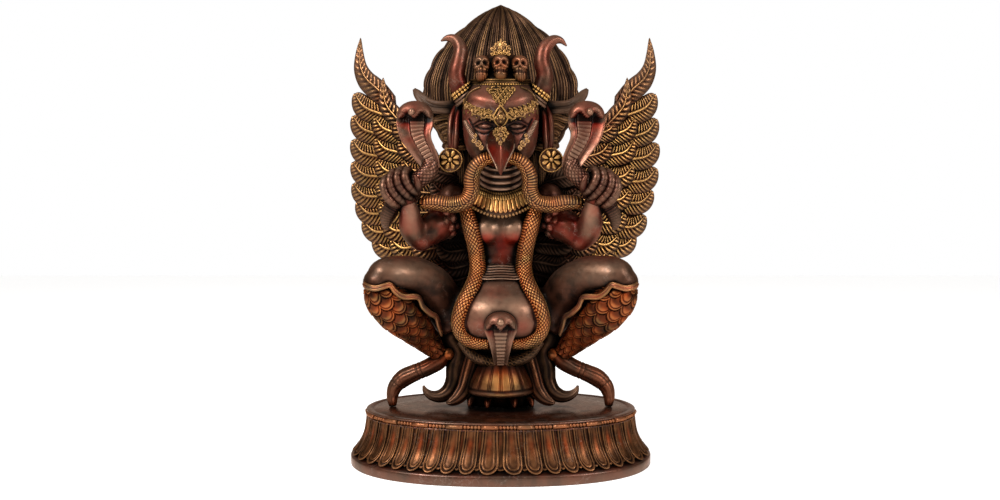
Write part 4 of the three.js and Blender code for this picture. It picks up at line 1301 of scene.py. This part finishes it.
def tail():
    carving = Carving()
    carving.pair(OUTER_PLUME, 50, 1.1, relief=plume(10), gilt=0.05)
    carving.pair(INNER_PLUME, 40, 1, relief=plume(8), gilt=0.06, ruddy=0.1)
    for out, y, tilt in ((20.5, -3, 1.5), (9, -7.5, 0.5)):
        claw = [
            (out - 3, y + 4, 17, 4.6), (out - 1, y + 0.5, 10, 4.2), (out + tilt, y - 4, 5.4, 3),
            (out + 1.6 * tilt, y - 7, 2.4, 1.7), (out + 2 * tilt, y - 8.5, 0.9, 0.5),
        ]
        carving.pair(claw, 24, 0.8, ruddy=0.15)
    skirt, light = loft(APRON, 16 * APRON_RIBS, 0.75, relief=fan, level=True)
    # The middle panels are painted paler as a painted highlight and the sides darker; the middle is also
    # redder.
    middle, pale = peak(skirt[..., 0], 0, 4.5), peak(skirt[..., 0], 0, 14)
    carving.skin((skirt, light * (0.6 + 0.4 * pale)), gilt=0.12 + 0.36 * pale, ruddy=0.2 + 0.7 * middle)
    carving.sweep(APRON_CORE, 40, 1.5, ruddy=0.1)
    cast("tail", carving, GILT_BRONZE)


# Wings.

# The web's inner and outer lines as [out, up].
WING_ROOTS = [(14, 76), (14, 100), (16, 130), (22, 160), (40, 174)]
WING_EDGE = [
    (98, 115), (108, 127), (116, 145), (121, 166), (122.5, 188), (122, 208), (120.5, 228),
    (118, 250),
]
# The outer feathers' tips as [out, up], from the lowest up: the left wing has one more.
FEATHER_TIPS = {
    LEFT: [
        (108, 122), (117, 136), (122.6, 151.5), (126, 166.5), (126.5, 184), (126.5, 202), (126, 221.5),
        (124.3, 239.5),
    ],
    RIGHT: [(106.5, 124), (115.5, 140), (121.8, 160.5), (125.6, 179), (126.6, 199), (125.6, 219), (124, 239)],
}
# Rows of feathers: where each ends between root and edge, how proud it stands, its size, its gilding and how
# deep it lies in painted shade.
FEATHER_ROWS = [
    SimpleNamespace(end=0.37, proud=8.0, length=36, half=8.4, gilt=0.05, shade=0.72),
    SimpleNamespace(end=0.58, proud=6.0, length=40, half=8.8, gilt=0.6, shade=0.9),
    SimpleNamespace(end=0.79, proud=3.9, length=46, half=9.4, gilt=0.95, shade=1.0),
    SimpleNamespace(end=1.0, proud=1.6, length=60, half=10.0, gilt=1.0, shade=1.0),
]
# The two tall pointed feathers.
PRIMARY = [(85, 226), (93.5, 236), (102, 245), (110.8, 253.5), (115.8, 263), (117, 275), (116.2, 287.5)]
SHOULDER = [(74, 209), (85.7, 220.4), (93.2, 230.5), (95.6, 242), (95.8, 252)]
BARB_PITCH = 2.9
POINTED_PITCH = 1.55 * BARB_PITCH
CARVED_LENGTH = 34
ROWS_IN_BARB = 5
# Across one barb, from its groove on: its height and its shine.
BARB_LIFT = np.array([-0.55, 0.22, 0.4, 0.4, 0.22])
BARB_SHINE = np.array([0.0, 0.5, 0.95, 1.0, 0.62])
# A feather's section from its quill to its edge: place, quill, groove, barbs, fullness and crest.
HALF_VANE = np.array([
    (0, 1, 0, 0, 1, 1),
    (0.11, 0.25, 0, 0, 1, 0.5),
    (0.17, 0, -0.45, 0.8, 1, 0.8),
    (0.42, 0, 0, 1, 1, 1),
    (0.7, 0, 0, 1, 1, 1),
    (0.94, 0, 0, 0.5, 0.75, 0.85),
    (1, 0, 0, 0, 0, 0.3),
])
WHOLE_VANE = np.vstack([HALF_VANE[:0:-1] * (-1, 1, 1, 1, 1, 1), HALF_VANE])
VANE, QUILL, GROOVE, BARBS, FULLNESS, VANE_CREST = WHOLE_VANE.T
BACK_VANE = np.array([0.6, 0, -0.6])


def wing_depth(out):
    beyond = np.maximum(0, out - 40)
    return 15 + 0.12 * beyond + 0.0028 * beyond**2


def on_wing(side, flat, depth):
    """Points of a wing from [out, up] and a depth."""
    return np.stack([side * flat[..., 0] + WING_SHIFT, depth, flat[..., 1]], -1)


def feather(carving, side, rachis, half_width, proud, gilt, pointed=False, lean=0.0, shade=1.0):
    """A feather along a rachis of [out, up] points: barbs slope from a raised quill to its edges."""
    path = spline(rachis, np.linspace(0, 1, 200))
    length = lengths(path)
    total = length[-1]
    carved = total - 2 if pointed else min(total - 2, CARVED_LENGTH)
    steps = ROWS_IN_BARB * int(carved / (POINTED_PITCH if pointed else BARB_PITCH))
    plain = total - carved
    rows = np.concatenate([np.linspace(0, plain, 5)[:-1], plain + np.arange(steps + 1) * carved / steps])
    phase = np.concatenate([np.zeros(4, int), np.arange(steps + 1) % ROWS_IN_BARB])
    lift, shine = BARB_LIFT[phase][:, None], BARB_SHINE[phase][:, None]
    vane = np.concatenate([VANE, BACK_VANE])
    front = np.arange(len(vane)) < len(VANE)
    along = rows[:, None] + half_width * np.abs(vane) * (1 - rows[:, None] / total) ** 0.6
    share = along / total
    if pointed:
        narrowing = clamp(1 - (np.maximum(share - 0.25, 0) / 0.75) ** 1.5) ** 0.85
        taper = np.where(share < 0.25, 1, narrowing)
    else:
        taper = np.where(share < 0.62, 1, np.sqrt(clamp(1 - ((share - 0.62) / 0.38) ** 2)))
    width = half_width * taper * (0.72 + 0.28 * smooth_step(share, 0, 0.5))
    centre, ahead, behind = (
        np.stack([np.interp(along + hop, length, line) for line in path.T], -1) for hop in (0, 0.4, -0.4)
    )
    way = unit(ahead - behind)
    normal = np.stack([-way[..., 1], way[..., 0]], -1)
    flat = centre + normal * (vane * (1 + lean * np.sign(vane)) * width)[..., None]
    slim = np.clip(taper + 0.15, 0.25, 1)[:, front]
    height, crest = np.empty_like(share), np.empty_like(share)
    height[:, front] = 1.5 * FULLNESS * slim + 0.75 * QUILL * slim + GROOVE + lift * BARBS
    height[:, ~front] = -1.3 - 0.4 * (BACK_VANE == 0) - 0.5 * lift * (BACK_VANE != 0)
    # The barbs fade out where the feather narrows to its tip.
    lit = 1 - (1 - shine) * clamp(1.3 * taper[:, front])
    bare = np.where(QUILL > 0, 1.0, 0.15)
    crest[:, front] = np.where(BARBS > 0, lit * (0.4 + 0.6 * BARBS), bare) * VANE_CREST
    crest[:, ~front] = 0.35 + 0.5 * shine
    depth = wing_depth(np.clip(flat[..., 0], 0, None)) - proud - height + 0.1 * vane * half_width
    points = on_wing(side, flat, depth)
    # Near the body the feathers are painted in shade, and each one's gilding fades towards its root.
    shade = shade * (0.3 + 0.7 * smooth_step(flat[..., 0], 32, 72))
    gilt = gilt * smooth_step(share, 0.1, 0.42)
    on_vane = np.where(np.abs(vane) < 0.15, 1.0, 0.62 - 0.2 * np.abs(vane))
    carving.skin((points, crest * shade), gilt=gilt * np.where(front, on_vane, 0.3), ruddy=0.15)


def web(side):
    """The sheet behind the quills: plain in front, and with rows of feathers in low relief on its back."""
    share = np.linspace(0, 0.97, 84)
    root, edge = (spline(line, share) for line in (WING_ROOTS, WING_EDGE))
    across = np.concatenate([np.linspace(0, 0.9, 8), np.linspace(0.9, 0, 60)])
    flat = root[:, None] + (edge - root)[:, None] * across[:, None]
    on_back = np.arange(len(across)) >= 8
    rows, columns = 4, len(FEATHER_TIPS[side])
    height, crest = np.zeros(flat.shape[:2]), np.zeros(flat.shape[:2])
    taken = np.zeros(flat.shape[:2], bool)
    # Each feather lies over the root of the next one out, and its barbs slope from its quill.
    for row in range(rows):
        turn = part(share[:, None] * columns - 0.5 * across * rows / columns + 0.5 * (row % 2)) * 2 - 1
        reach = across * rows / 0.9 - row
        inside = (reach < 1 + 0.45 * np.sqrt(1 - turn**2)) & ~taken
        barb = np.abs(np.sin(math.pi * (9 * reach - 2.2 * np.abs(turn))))
        quill = peak(turn, 0, 0.1)
        height = np.where(inside, 0.7 * (1 - turn**2) + 0.25 * barb + 0.5 * quill - 0.3 * (row - 1), height)
        lit = np.maximum(0.8 * barb * smooth_step(np.abs(turn), 1, 0.7), quill)
        crest = np.where(inside, 0.2 + 0.45 * lit, crest)
        taken |= inside
    height = np.where(on_back, height * smooth_step(across, 0.9, 0.87), 0)
    y = wing_depth(flat[..., 0]) + np.where(on_back, 1.6, 0.6) + height
    return on_wing(side, flat, y), np.where(on_back, crest, 0.3)


def wing(side):
    carving = Carving()
    tips = np.array(FEATHER_TIPS[side], float)
    for level, row in enumerate(FEATHER_ROWS):
        # Every other row lies half a feather lower.
        stagger = 0.5 * (level % 2 == 0)
        for i, own in enumerate(tips):
            share = (i + 0.55 - stagger) / len(tips)
            root = spline(WING_ROOTS, np.array([share]))[0]
            reach = own if row.end == 1 else own + (tips[max(i - 1, 0)] - own) * stagger
            tip = root + (reach - root) * row.end + np.array([-2.4, 4.4])
            leaving, ending = math.radians(-15 + 44 * share), math.radians(34 + 22 * share)
            long = row.length
            if i == len(tips) - 1 and level < 2:
                # The gap beside the head stays open: the inner rows' top feather is left out or short.
                if level == 0:
                    continue
                long = 24
            heading, away = (np.array([math.cos(a), math.sin(a)]) for a in (ending, leaving))
            bend = tip - 0.24 * long * heading
            mid = bend - 0.36 * long * away
            rachis = [mid - 0.4 * long * away, mid, bend, tip]
            feather(carving, side, rachis, row.half, row.proud + 0.15 * i, row.gilt, shade=row.shade)
    feather(carving, side, PRIMARY, half_width=9.4, proud=3.2, gilt=0.45, pointed=True, lean=-0.1)
    feather(carving, side, SHOULDER, half_width=8, proud=6.4, gilt=0.55, pointed=True)
    carving.skin(web(side), gilt=0.35)
    cast("wing_at_minus_x" if side == LEFT else "wing_at_plus_x", carving, GILT_BRONZE)


# Pearls, strung along lines by a tree.


def new_tree(name, inputs):
    """A Geometry Nodes tree that takes a geometry, named inputs and a metal, with those inputs' sockets."""
    tree = bpy.data.node_groups.new(name, "GeometryNodeTree")
    for label, kind in (("Geometry", "Geometry"), *inputs.items(), ("Metal", "Material")):
        tree.interface.new_socket(label, in_out="INPUT", socket_type=f"NodeSocket{kind}")
    tree.interface.new_socket("Geometry", in_out="OUTPUT", socket_type="NodeSocketGeometry")
    return tree, add_node(tree, "NodeGroupInput").outputs


def finish_tree(tree, copies, metal):
    real = add_node(tree, "GeometryNodeRealizeInstances", {0: copies})
    finished = add_node(tree, "GeometryNodeSetMaterial", {0: real, "Material": metal})
    add_node(tree, "NodeGroupOutput", {0: finished})
    return tree


def pearl_tree():
    """Beads along lines: each line's own radius sizes its beads, and Spacing is in bead radii."""
    tree, given = new_tree("beads along lines", {"Spacing": "Float", "Bead facets": "Int"})
    radius = add_node(tree, "GeometryNodeInputRadius")
    pitch = add_node(tree, "ShaderNodeMath", {0: radius, 1: given["Spacing"]}, operation="MULTIPLY")
    sockets = {"Curve": given["Geometry"], "Length": pitch}
    line = add_node(tree, "GeometryNodeResampleCurve", sockets, mode="LENGTH")
    bead = add_node(tree, "GeometryNodeMeshIcoSphere", {"Radius": 1.0, "Subdivisions": given["Bead facets"]})
    smooth = add_node(tree, "GeometryNodeSetShadeSmooth", {0: bead})
    sockets = {"Points": line, "Instance": smooth, "Scale": radius}
    return finish_tree(tree, add_node(tree, "GeometryNodeInstanceOnPoints", sockets), given["Metal"])


def curve_object(name, lines):
    """Lines of points [x, y, z, radius] in metres as one curve object."""
    data = bpy.data.curves.new(name, "CURVE")
    data.dimensions = "3D"
    for points, closed in lines:
        poly = data.splines.new("POLY")
        poly.points.add(len(points) - 1)
        for spot, (x, y, z, radius) in zip(poly.points, points):
            spot.co = (x, y, z, 1)
            spot.radius = radius
        poly.use_cyclic_u = closed
    return placed(name, data)


def grown(name, source, tree, settings, material, **marks):
    """The plain mesh that a tree grows from a source object."""
    modifier = source.modifiers.new(tree.name, "NODES")
    modifier.node_group = tree
    for item in tree.interface.items_tree:
        if item.in_out == "INPUT" and item.name in settings:
            modifier[item.identifier] = settings[item.name]
    graph = bpy.context.evaluated_depsgraph_get()
    mesh = bpy.data.meshes.new_from_object(source.evaluated_get(graph), depsgraph=graph)
    bpy.data.objects.remove(source)
    mesh.name = name
    mesh.materials.clear()
    mesh.materials.append(material)
    for mark, value in marks.items():
        store_mark(mesh, mark, np.full(len(mesh.vertices), value))
    return placed(name, mesh)


def pearls():
    tree = pearl_tree()
    settings = {"Spacing": 2.1, "Bead facets": 2, "Metal": GILT_BRONZE}

    def string(points, closed=True):
        world = to_world(np.array([point[:3] for point in points], float))
        return [(*at, point[3] * FIGURE_SCALE) for at, point in zip(world, points)], closed

    def strung(name, lines, **marks):
        source = curve_object(f"{name}_lines", lines)
        claim(grown(name, source, tree, settings, GILT_BRONZE, **marks), "garuda_figure")

    # The crown's band, two rows on each horn's root, and the dotted rims of the earrings.
    lines = [string(arc((0, -17, 235), (22.2, 22.4), -160, -20, 0.85, tilt=5), closed=False)]
    for stations in (LEFT_HORN, RIGHT_HORN):
        for share in (0.58, 0.82):
            ring = ring_round(*stations[:2], share, radius=7.4, thick=1.25, count=33)
            lines.append(string(ring[:-1]))
    out, z = ROSETTE_PLACE
    for x in (-out, out):
        angle = np.linspace(0, 2 * math.pi, 41)[:-1]
        lines.append(string([(x + 8.3 * math.cos(a), -24, z + 8.3 * math.sin(a), 0.55) for a in angle]))
    strung("pearls", lines, gilt=0.95, ruddy=0.2, crest=0.95)
    # The dark pearls of the collar's edge, and the cords outside the serpents.
    edge = arc((0, -1, 149.4), (26.2, 22.2), -180, 176, 1.3, tilt=0, count=80)
    lines = [string([(x, y, z - collar_drop(y), radius) for x, y, z, radius in edge])]
    path = spline(BODY_SERPENT, np.linspace(0.42, 0.93, 60))
    way = unit(np.gradient(path[:, :3], axis=0))
    cord = path[:, :3] + unit(np.cross(FRONT, way) + (0, 0.25, 0)) * (path[:, 3:] + 0.35)
    for side in (LEFT, RIGHT):
        lines.append(string([(side * x, y, z, 0.5) for x, y, z in cord], closed=False))
    strung("dark_pearls", lines, gilt=0.35, ruddy=0.1, crest=0.95)


# Plinth.

FOOT_HEIGHT = 7.5
RIM_HEIGHT = 5.5
PETAL_FLARE = 12
PETAL_PITCH = 13.3
PETAL_ROUND = 5.6
PETAL_COUNT = 44
TOP_POWER, FOOT_POWER = 2.14, 2.32
TOP_HALF_WIDTH = PLINTH_HALF_WIDTH - PETAL_FLARE
TOP_HALF_DEPTH = PLINTH_HALF_DEPTH - PETAL_FLARE
NECK_HEIGHT = PLINTH_HEIGHT - RIM_HEIGHT


def oval_point(share, out, z):
    """A point on the plinth's wall: a share round it from the front, a distance out, and a height."""
    power = FOOT_POWER + (TOP_POWER - FOOT_POWER) * clamp(z / PLINTH_HEIGHT)
    fine = np.linspace(0, 2 * math.pi, 1441) - math.pi / 2
    base = np.stack([TOP_HALF_WIDTH * np.cos(fine), TOP_HALF_DEPTH * np.sin(fine)], -1)
    length = lengths(base)
    angle = np.interp(part(share) * length[-1], length, fine)
    cos, sin = np.cos(angle), np.sin(angle)
    x = np.sign(cos) * np.abs(cos) ** (2 / power) * (TOP_HALF_WIDTH + out)
    y = np.sign(sin) * np.abs(sin) ** (2 / power) * (TOP_HALF_DEPTH + out)
    return np.stack(np.broadcast_arrays(x, y, z), -1)


def wall(z):
    """How far the petals' wall stands out from the top's edge at a height."""
    drop = clamp((NECK_HEIGHT - z) / (NECK_HEIGHT - FOOT_HEIGHT))
    return -1.6 + 2.6 * drop + 8.4 * drop**3.2


def petal(carving, centre, width, drop, proud, columns, rows):
    """A hanging petal with a lip, a groove and a raised tongue, between its neck and its round end."""
    low = FOOT_HEIGHT + 0.4 + drop
    fall = 1 - (1 - np.linspace(0, 1, rows)[:, None]) ** 1.25
    z = NECK_HEIGHT + 1 + (low - NECK_HEIGHT - 1) * fall
    over_end = np.clip(low + PETAL_ROUND - z, 0, None)
    taper = np.sqrt(1 - clamp(over_end / PETAL_ROUND) ** 2) * 0.98 + 0.02
    taper = taper * (0.88 + 0.12 * smooth_step(fall, 0.1, 0.75))
    across = np.linspace(-1, 1, columns)
    a = across * taper
    # How far each point lies inside the petal's outline, in millimetres.
    gap = np.minimum((1 - np.abs(across)) * taper * width * PETAL_PITCH / 2, z - low)
    round_gap = np.maximum(PETAL_ROUND - np.hypot(a * PETAL_ROUND, over_end), 0)
    gap = np.where(over_end > 0, np.minimum(gap, round_gap), gap)
    lip, groove, inner = peak(gap, 0.75, 0.7), peak(gap, 1.75, 0.36), peak(gap, 2.55, 0.55)
    tongue = smooth_step(gap, 3.2, 4.8)
    height = (0.25 + 0.85 * lip - 0.5 * groove + 0.55 * inner + 0.3 * tongue) * smooth_step(gap, -0.2, 0.7)
    front = oval_point((centre + a * width / 2) / PETAL_COUNT, wall(z) + proud + height, z)
    back_a = np.array([0.9, 0, -0.9]) * taper
    back = oval_point((centre + back_a * width / 2) / PETAL_COUNT, wall(z) - 2.2, z)
    lit = clamp(0.48 + 0.45 * lip - 0.65 * groove + 0.42 * inner + 0.22 * tongue)
    crest = np.concatenate([lit * smooth_step(gap, -0.3, 0.3), np.full(back_a.shape, 0.3)], 1)
    ruddy = np.concatenate([0.6 * peak(a, 0, 0.28) * peak(fall, 0.38, 0.2), np.zeros(back_a.shape)], 1)
    carving.skin((np.concatenate([front, back], 1), crest), gilt=0.22 * crest, ruddy=ruddy)


def as_metres(points):
    return points * MM


# The core's profile from its underside to the middle of its top, as (height, distance out).
PLINTH_PROFILE = [
    (0, PETAL_FLARE - 3.2), (0.8, PETAL_FLARE - 2.2), (FOOT_HEIGHT - 1.2, PETAL_FLARE - 2.0),
    (FOOT_HEIGHT - 0.2, PETAL_FLARE - 2.6), (FOOT_HEIGHT + 0.2, PETAL_FLARE - 4.5), (FOOT_HEIGHT + 2, 4.6),
    (FOOT_HEIGHT + 6, 1.6), (NECK_HEIGHT - 8, -1.8), (NECK_HEIGHT - 0.6, -2.4), (NECK_HEIGHT + 0.2, -0.9),
    (NECK_HEIGHT + 0.9, -1.2), (NECK_HEIGHT + 1.6, -2.2), (PLINTH_HEIGHT - 1.8, -2.2),
    (PLINTH_HEIGHT - 1.2, -0.9), (PLINTH_HEIGHT - 0.4, -0.8), (PLINTH_HEIGHT, -1.6), (PLINTH_HEIGHT, -4.6),
    (PLINTH_HEIGHT - 0.7, -5.4), (PLINTH_HEIGHT - 0.7, -6.4), (PLINTH_HEIGHT - 0.15, -7.2),
    (PLINTH_HEIGHT - 0.1, -30), (PLINTH_HEIGHT - 0.1, -50),
]


def plinth():
    petals = Carving()
    for k in range(PETAL_COUNT):
        petal(petals, k + 0.5, width=0.92, drop=0.0, proud=0.0, columns=21, rows=32)
        petal(petals, k + 1.0, width=0.5, drop=1.6, proud=-0.9, columns=9, rows=18)
    cast("lotus_petals", petals, PLINTH_BRONZE, "plinth", as_metres)
    core = Carving()
    rings = np.stack([oval_point(np.arange(360) / 360, out, z) for z, out in PLINTH_PROFILE])
    # The top is painted a little lighter than the wall, as a painted reflection.
    top = np.array([z > PLINTH_HEIGHT - 0.5 and out < -7 for z, out in PLINTH_PROFILE])[:, None]
    crest = np.broadcast_to(np.where(top, 0.66, 0.56), rings.shape[:2])
    core.skin((rings, crest), gilt=0.05, ruddy=np.where(top, 0.15, 0.25))
    cast("plinth_body", core, POLISHED_BRONZE, "plinth", as_metres)


def bead_and_reel_tree():
    """A moulding of beads in groups with a reel between them, along a closed line of even slots."""
    counts = dict.fromkeys(("Slots", "Slots in a repeat", "Beads in a group"), "Int")
    sizes = dict.fromkeys(("Bead radius", "Reel radius", "Reel length"), "Float")
    tree, given = new_tree("bead and reel", counts | sizes)
    line = add_node(tree, "GeometryNodeResampleCurve", {"Curve": given["Geometry"], "Count": given["Slots"]})
    value = {"index": add_node(tree, "GeometryNodeInputIndex")}
    value |= {"repeat": given["Slots in a repeat"], "group": given["Beads in a group"]}
    # A slot's place in its repeat, and the middle of the slots that the beads leave free. The third
    # term is the comparison's tolerance, which the other sums don't read.
    sums = (
        ("slot", "MODULO", "index", "repeat"),
        ("last", "SUBTRACT", "group", 0.5),
        ("is bead", "LESS_THAN", "slot", "last"),
        ("both", "ADD", "repeat", "group"),
        ("middle", "MULTIPLY", "both", 0.5),
        ("whole", "FLOOR", "middle", 0),
        ("is reel", "COMPARE", "slot", "whole"),
    )
    for key, operation, a, b in sums:
        terms = {0: value[a], 1: value.get(b, b), 2: 0.4}
        value[key] = add_node(tree, "ShaderNodeMath", terms, operation=operation)
    axes = {"Primary Axis": add_node(tree, "GeometryNodeInputTangent"), "Secondary Axis": (0, 0, 1)}
    turn = add_node(tree, "FunctionNodeAxesToRotation", axes, primary_axis="Z", secondary_axis="X")
    bead = add_node(tree, "GeometryNodeMeshIcoSphere", {"Radius": given["Bead radius"], "Subdivisions": 2})
    reel = {"Vertices": 16, "Side Segments": 3, "Radius": given["Reel radius"], "Depth": given["Reel length"]}
    drum = add_node(tree, "GeometryNodeMeshCylinder", reel, fill_type="TRIANGLE_FAN")
    round_bead = add_node(tree, "GeometryNodeSetShadeSmooth", {0: bead})
    round_drum = add_node(tree, "GeometryNodeSetShadeSmooth", {0: drum, 1: drum.outputs["Side"]})
    joined = add_node(tree, "GeometryNodeJoinGeometry")
    for chosen, form in (("is bead", round_bead), ("is reel", round_drum)):
        sockets = {"Points": line, "Selection": value[chosen], "Instance": form, "Rotation": turn}
        copies = add_node(tree, "GeometryNodeInstanceOnPoints", sockets)
        tree.links.new(copies.outputs[0], joined.inputs[0])
    return finish_tree(tree, joined, given["Metal"])


REPEATS = 21
SLOTS_IN_REPEAT = 10


def plinth_moulding():
    line = as_metres(oval_point(np.arange(480) / 480, -1.5, PLINTH_HEIGHT - 0.5 * RIM_HEIGHT))
    source = curve_object("moulding_line", [([(*p, 0.001) for p in line], True)])
    settings = {
        "Slots": REPEATS * SLOTS_IN_REPEAT,
        "Slots in a repeat": SLOTS_IN_REPEAT,
        "Beads in a group": 5,
        "Bead radius": 1.42 * MM,
        "Reel radius": 1.6 * MM,
        "Reel length": 11.4 * MM,
        "Metal": PLINTH_BRONZE,
    }
    marks = {"gilt": 0.3, "ruddy": 0.45, "crest": 0.82}
    obj = grown("plinth_moulding", source, bead_and_reel_tree(), settings, PLINTH_BRONZE, **marks)
    claim(obj, "plinth")


# The last pass: how sunk each point lies among its neighbours paints shade and grime into the patina there.


def triples(items, field, kind=np.float32):
    """One field of a mesh's vertices or triangles, three numbers a row."""
    values = np.empty(len(items) * 3, kind)
    items.foreach_get(field, values)
    return values.reshape(-1, 3)


def mark_hollows():
    voxel, margin = 0.0014, 8
    gathered, corners, base = [], [], 0
    for obj in PIECES:
        mesh = obj.data
        mesh.calc_loop_triangles()
        gathered.append(triples(mesh.vertices, "co"))
        corners.append(triples(mesh.loop_triangles, "vertices", np.int32).astype(np.uint32) + base)
        base += len(mesh.vertices)
    grid = openvdb.FloatGrid.createLevelSetFromPolygons(
        np.vstack(gathered),
        triangles=np.vstack(corners),
        transform=openvdb.createLinearTransform(voxel),
        halfWidth=2.0,
    )
    low, high = grid.evalActiveVoxelBoundingBox()
    low = tuple(v - margin for v in low)
    shape = [b - a + 1 + margin for a, b in zip(low, high)]
    depth = np.zeros(shape, np.float32)
    grid.copyToArray(depth, ijk=low)
    solid = clamp(0.5 - depth / voxel)
    near, wide = solid, solid
    for _ in range(2):
        near = box_blur(near, 1)
        wide = box_blur(wide, 4)
    for obj, points in zip(PIECES, gathered):
        mesh = obj.data
        at = (points + 0.7 * voxel * triples(mesh.vertices, "normal")) / voxel - np.array(low)
        value = 0.45 * sampled(near, at) + 0.55 * sampled(wide, at) + 0.06
        store_mark(mesh, "hollow", value)


def sampled(cells, at):
    """Values between a grid's cells."""
    at = np.clip(at, 0, np.array(cells.shape) - 1.001)
    k = at.astype(int)
    w = at - k
    total = 0.0
    for corner in range(8):
        step = np.array([(corner >> i) & 1 for i in range(3)])
        weight = np.prod(np.where(step, w, 1 - w), axis=1)
        total = total + weight * cells[tuple((k + step).T)]
    return total


# Stage, light and camera.

AIM_HEIGHT = 0.18


def stage():
    bpy.ops.mesh.primitive_plane_add(size=12, location=(0, 0, 0))
    floor = bpy.context.object
    floor.name = "floor"
    # Rolled matt paint: an even pale ground without gloss, on which only the plinth's soft shadow shows.
    paint = bpy.data.materials.new("pale matt paint")
    paint.use_nodes = True
    shader = paint.node_tree.nodes["Principled BSDF"]
    shown = {"Base Color": linear("#f6f5f3"), "Roughness": 0.9, "Emission Color": linear("#ffffff")}
    for name, value in {**shown, "Emission Strength": 0.66}.items():
        shader.inputs[name].default_value = value
    floor.data.materials.append(paint)

    def softbox(name, at, size, watts):
        """A round lamp that faces the figure's middle."""
        light = bpy.data.lights.new(name, "AREA")
        light.shape, light.size, light.energy = "DISK", size, watts
        lamp = placed(name, light)
        x, y, z = at
        lamp.location = at
        lamp.rotation_euler = (math.atan2(math.hypot(x, y), z - AIM_HEIGHT), 0, math.atan2(x, -y))

    softbox("key", (-0.8, -1.0, 1.0), size=0.55, watts=27)
    softbox("fill", (0.95, -0.9, 0.7), size=0.6, watts=13)
    sky = bpy.data.lights.new("overhead", "SUN")
    sky.energy, sky.angle = 0.9, math.radians(80)
    placed("overhead", sky).rotation_euler = (math.radians(12), 0, 0)
    world = bpy.data.worlds.new("studio")
    bpy.context.scene.world = world
    world.use_nodes = True
    tree = world.node_tree
    tree.nodes.clear()
    white = add_node(tree, "ShaderNodeBackground", {"Color": (1, 1, 1, 1), "Strength": 1.0})
    dim = add_node(tree, "ShaderNodeBackground", {"Color": (1, 1, 1, 1), "Strength": 0.06})
    # Reflections see pale paper behind the figure and a dim room in front.
    place = add_node(tree, "ShaderNodeTexCoord").outputs["Generated"]
    towards = add_node(tree, "ShaderNodeSeparateXYZ", {0: place}).outputs["Y"]
    span = {"Value": towards, "From Min": 0.3, "From Max": 0.95, "To Min": 0.14, "To Max": 0.75}
    paper = add_node(tree, "ShaderNodeMapRange", span)
    room = add_node(tree, "ShaderNodeBackground", {"Color": linear("#fff3e8"), "Strength": paper})
    rays = add_node(tree, "ShaderNodeLightPath").outputs
    around = add_node(tree, "ShaderNodeMixShader", {0: rays["Is Glossy Ray"], 1: dim, 2: room})
    chosen = add_node(tree, "ShaderNodeMixShader", {0: rays["Is Camera Ray"], 1: around, 2: white})
    add_node(tree, "ShaderNodeOutputWorld", {"Surface": chosen})
    bpy.context.scene.view_settings.view_transform = "Standard"


def camera():
    data = bpy.data.cameras.new("camera")
    data.lens, data.sensor_width = 24, 36
    data.shift_x, data.shift_y = -0.0007, 0.0105
    eye = placed("camera", data)
    eye.location = (0, -0.5, 0.1476)
    eye.rotation_euler = (math.pi / 2, 0, 0)
    bpy.context.scene.camera = eye


def main():
    camera()
    stage()
    body()
    belly_and_sash()
    ornaments(*head())
    crown()
    horns()
    ears()
    rosettes()
    hair()
    neck()
    collar()
    serpents()
    beak_serpent()
    cobras()
    hands()
    legs()
    tail()
    for side in (LEFT, RIGHT):
        wing(side)
    pearls()
    plinth()
    plinth_moulding()
    mark_hollows()


main()
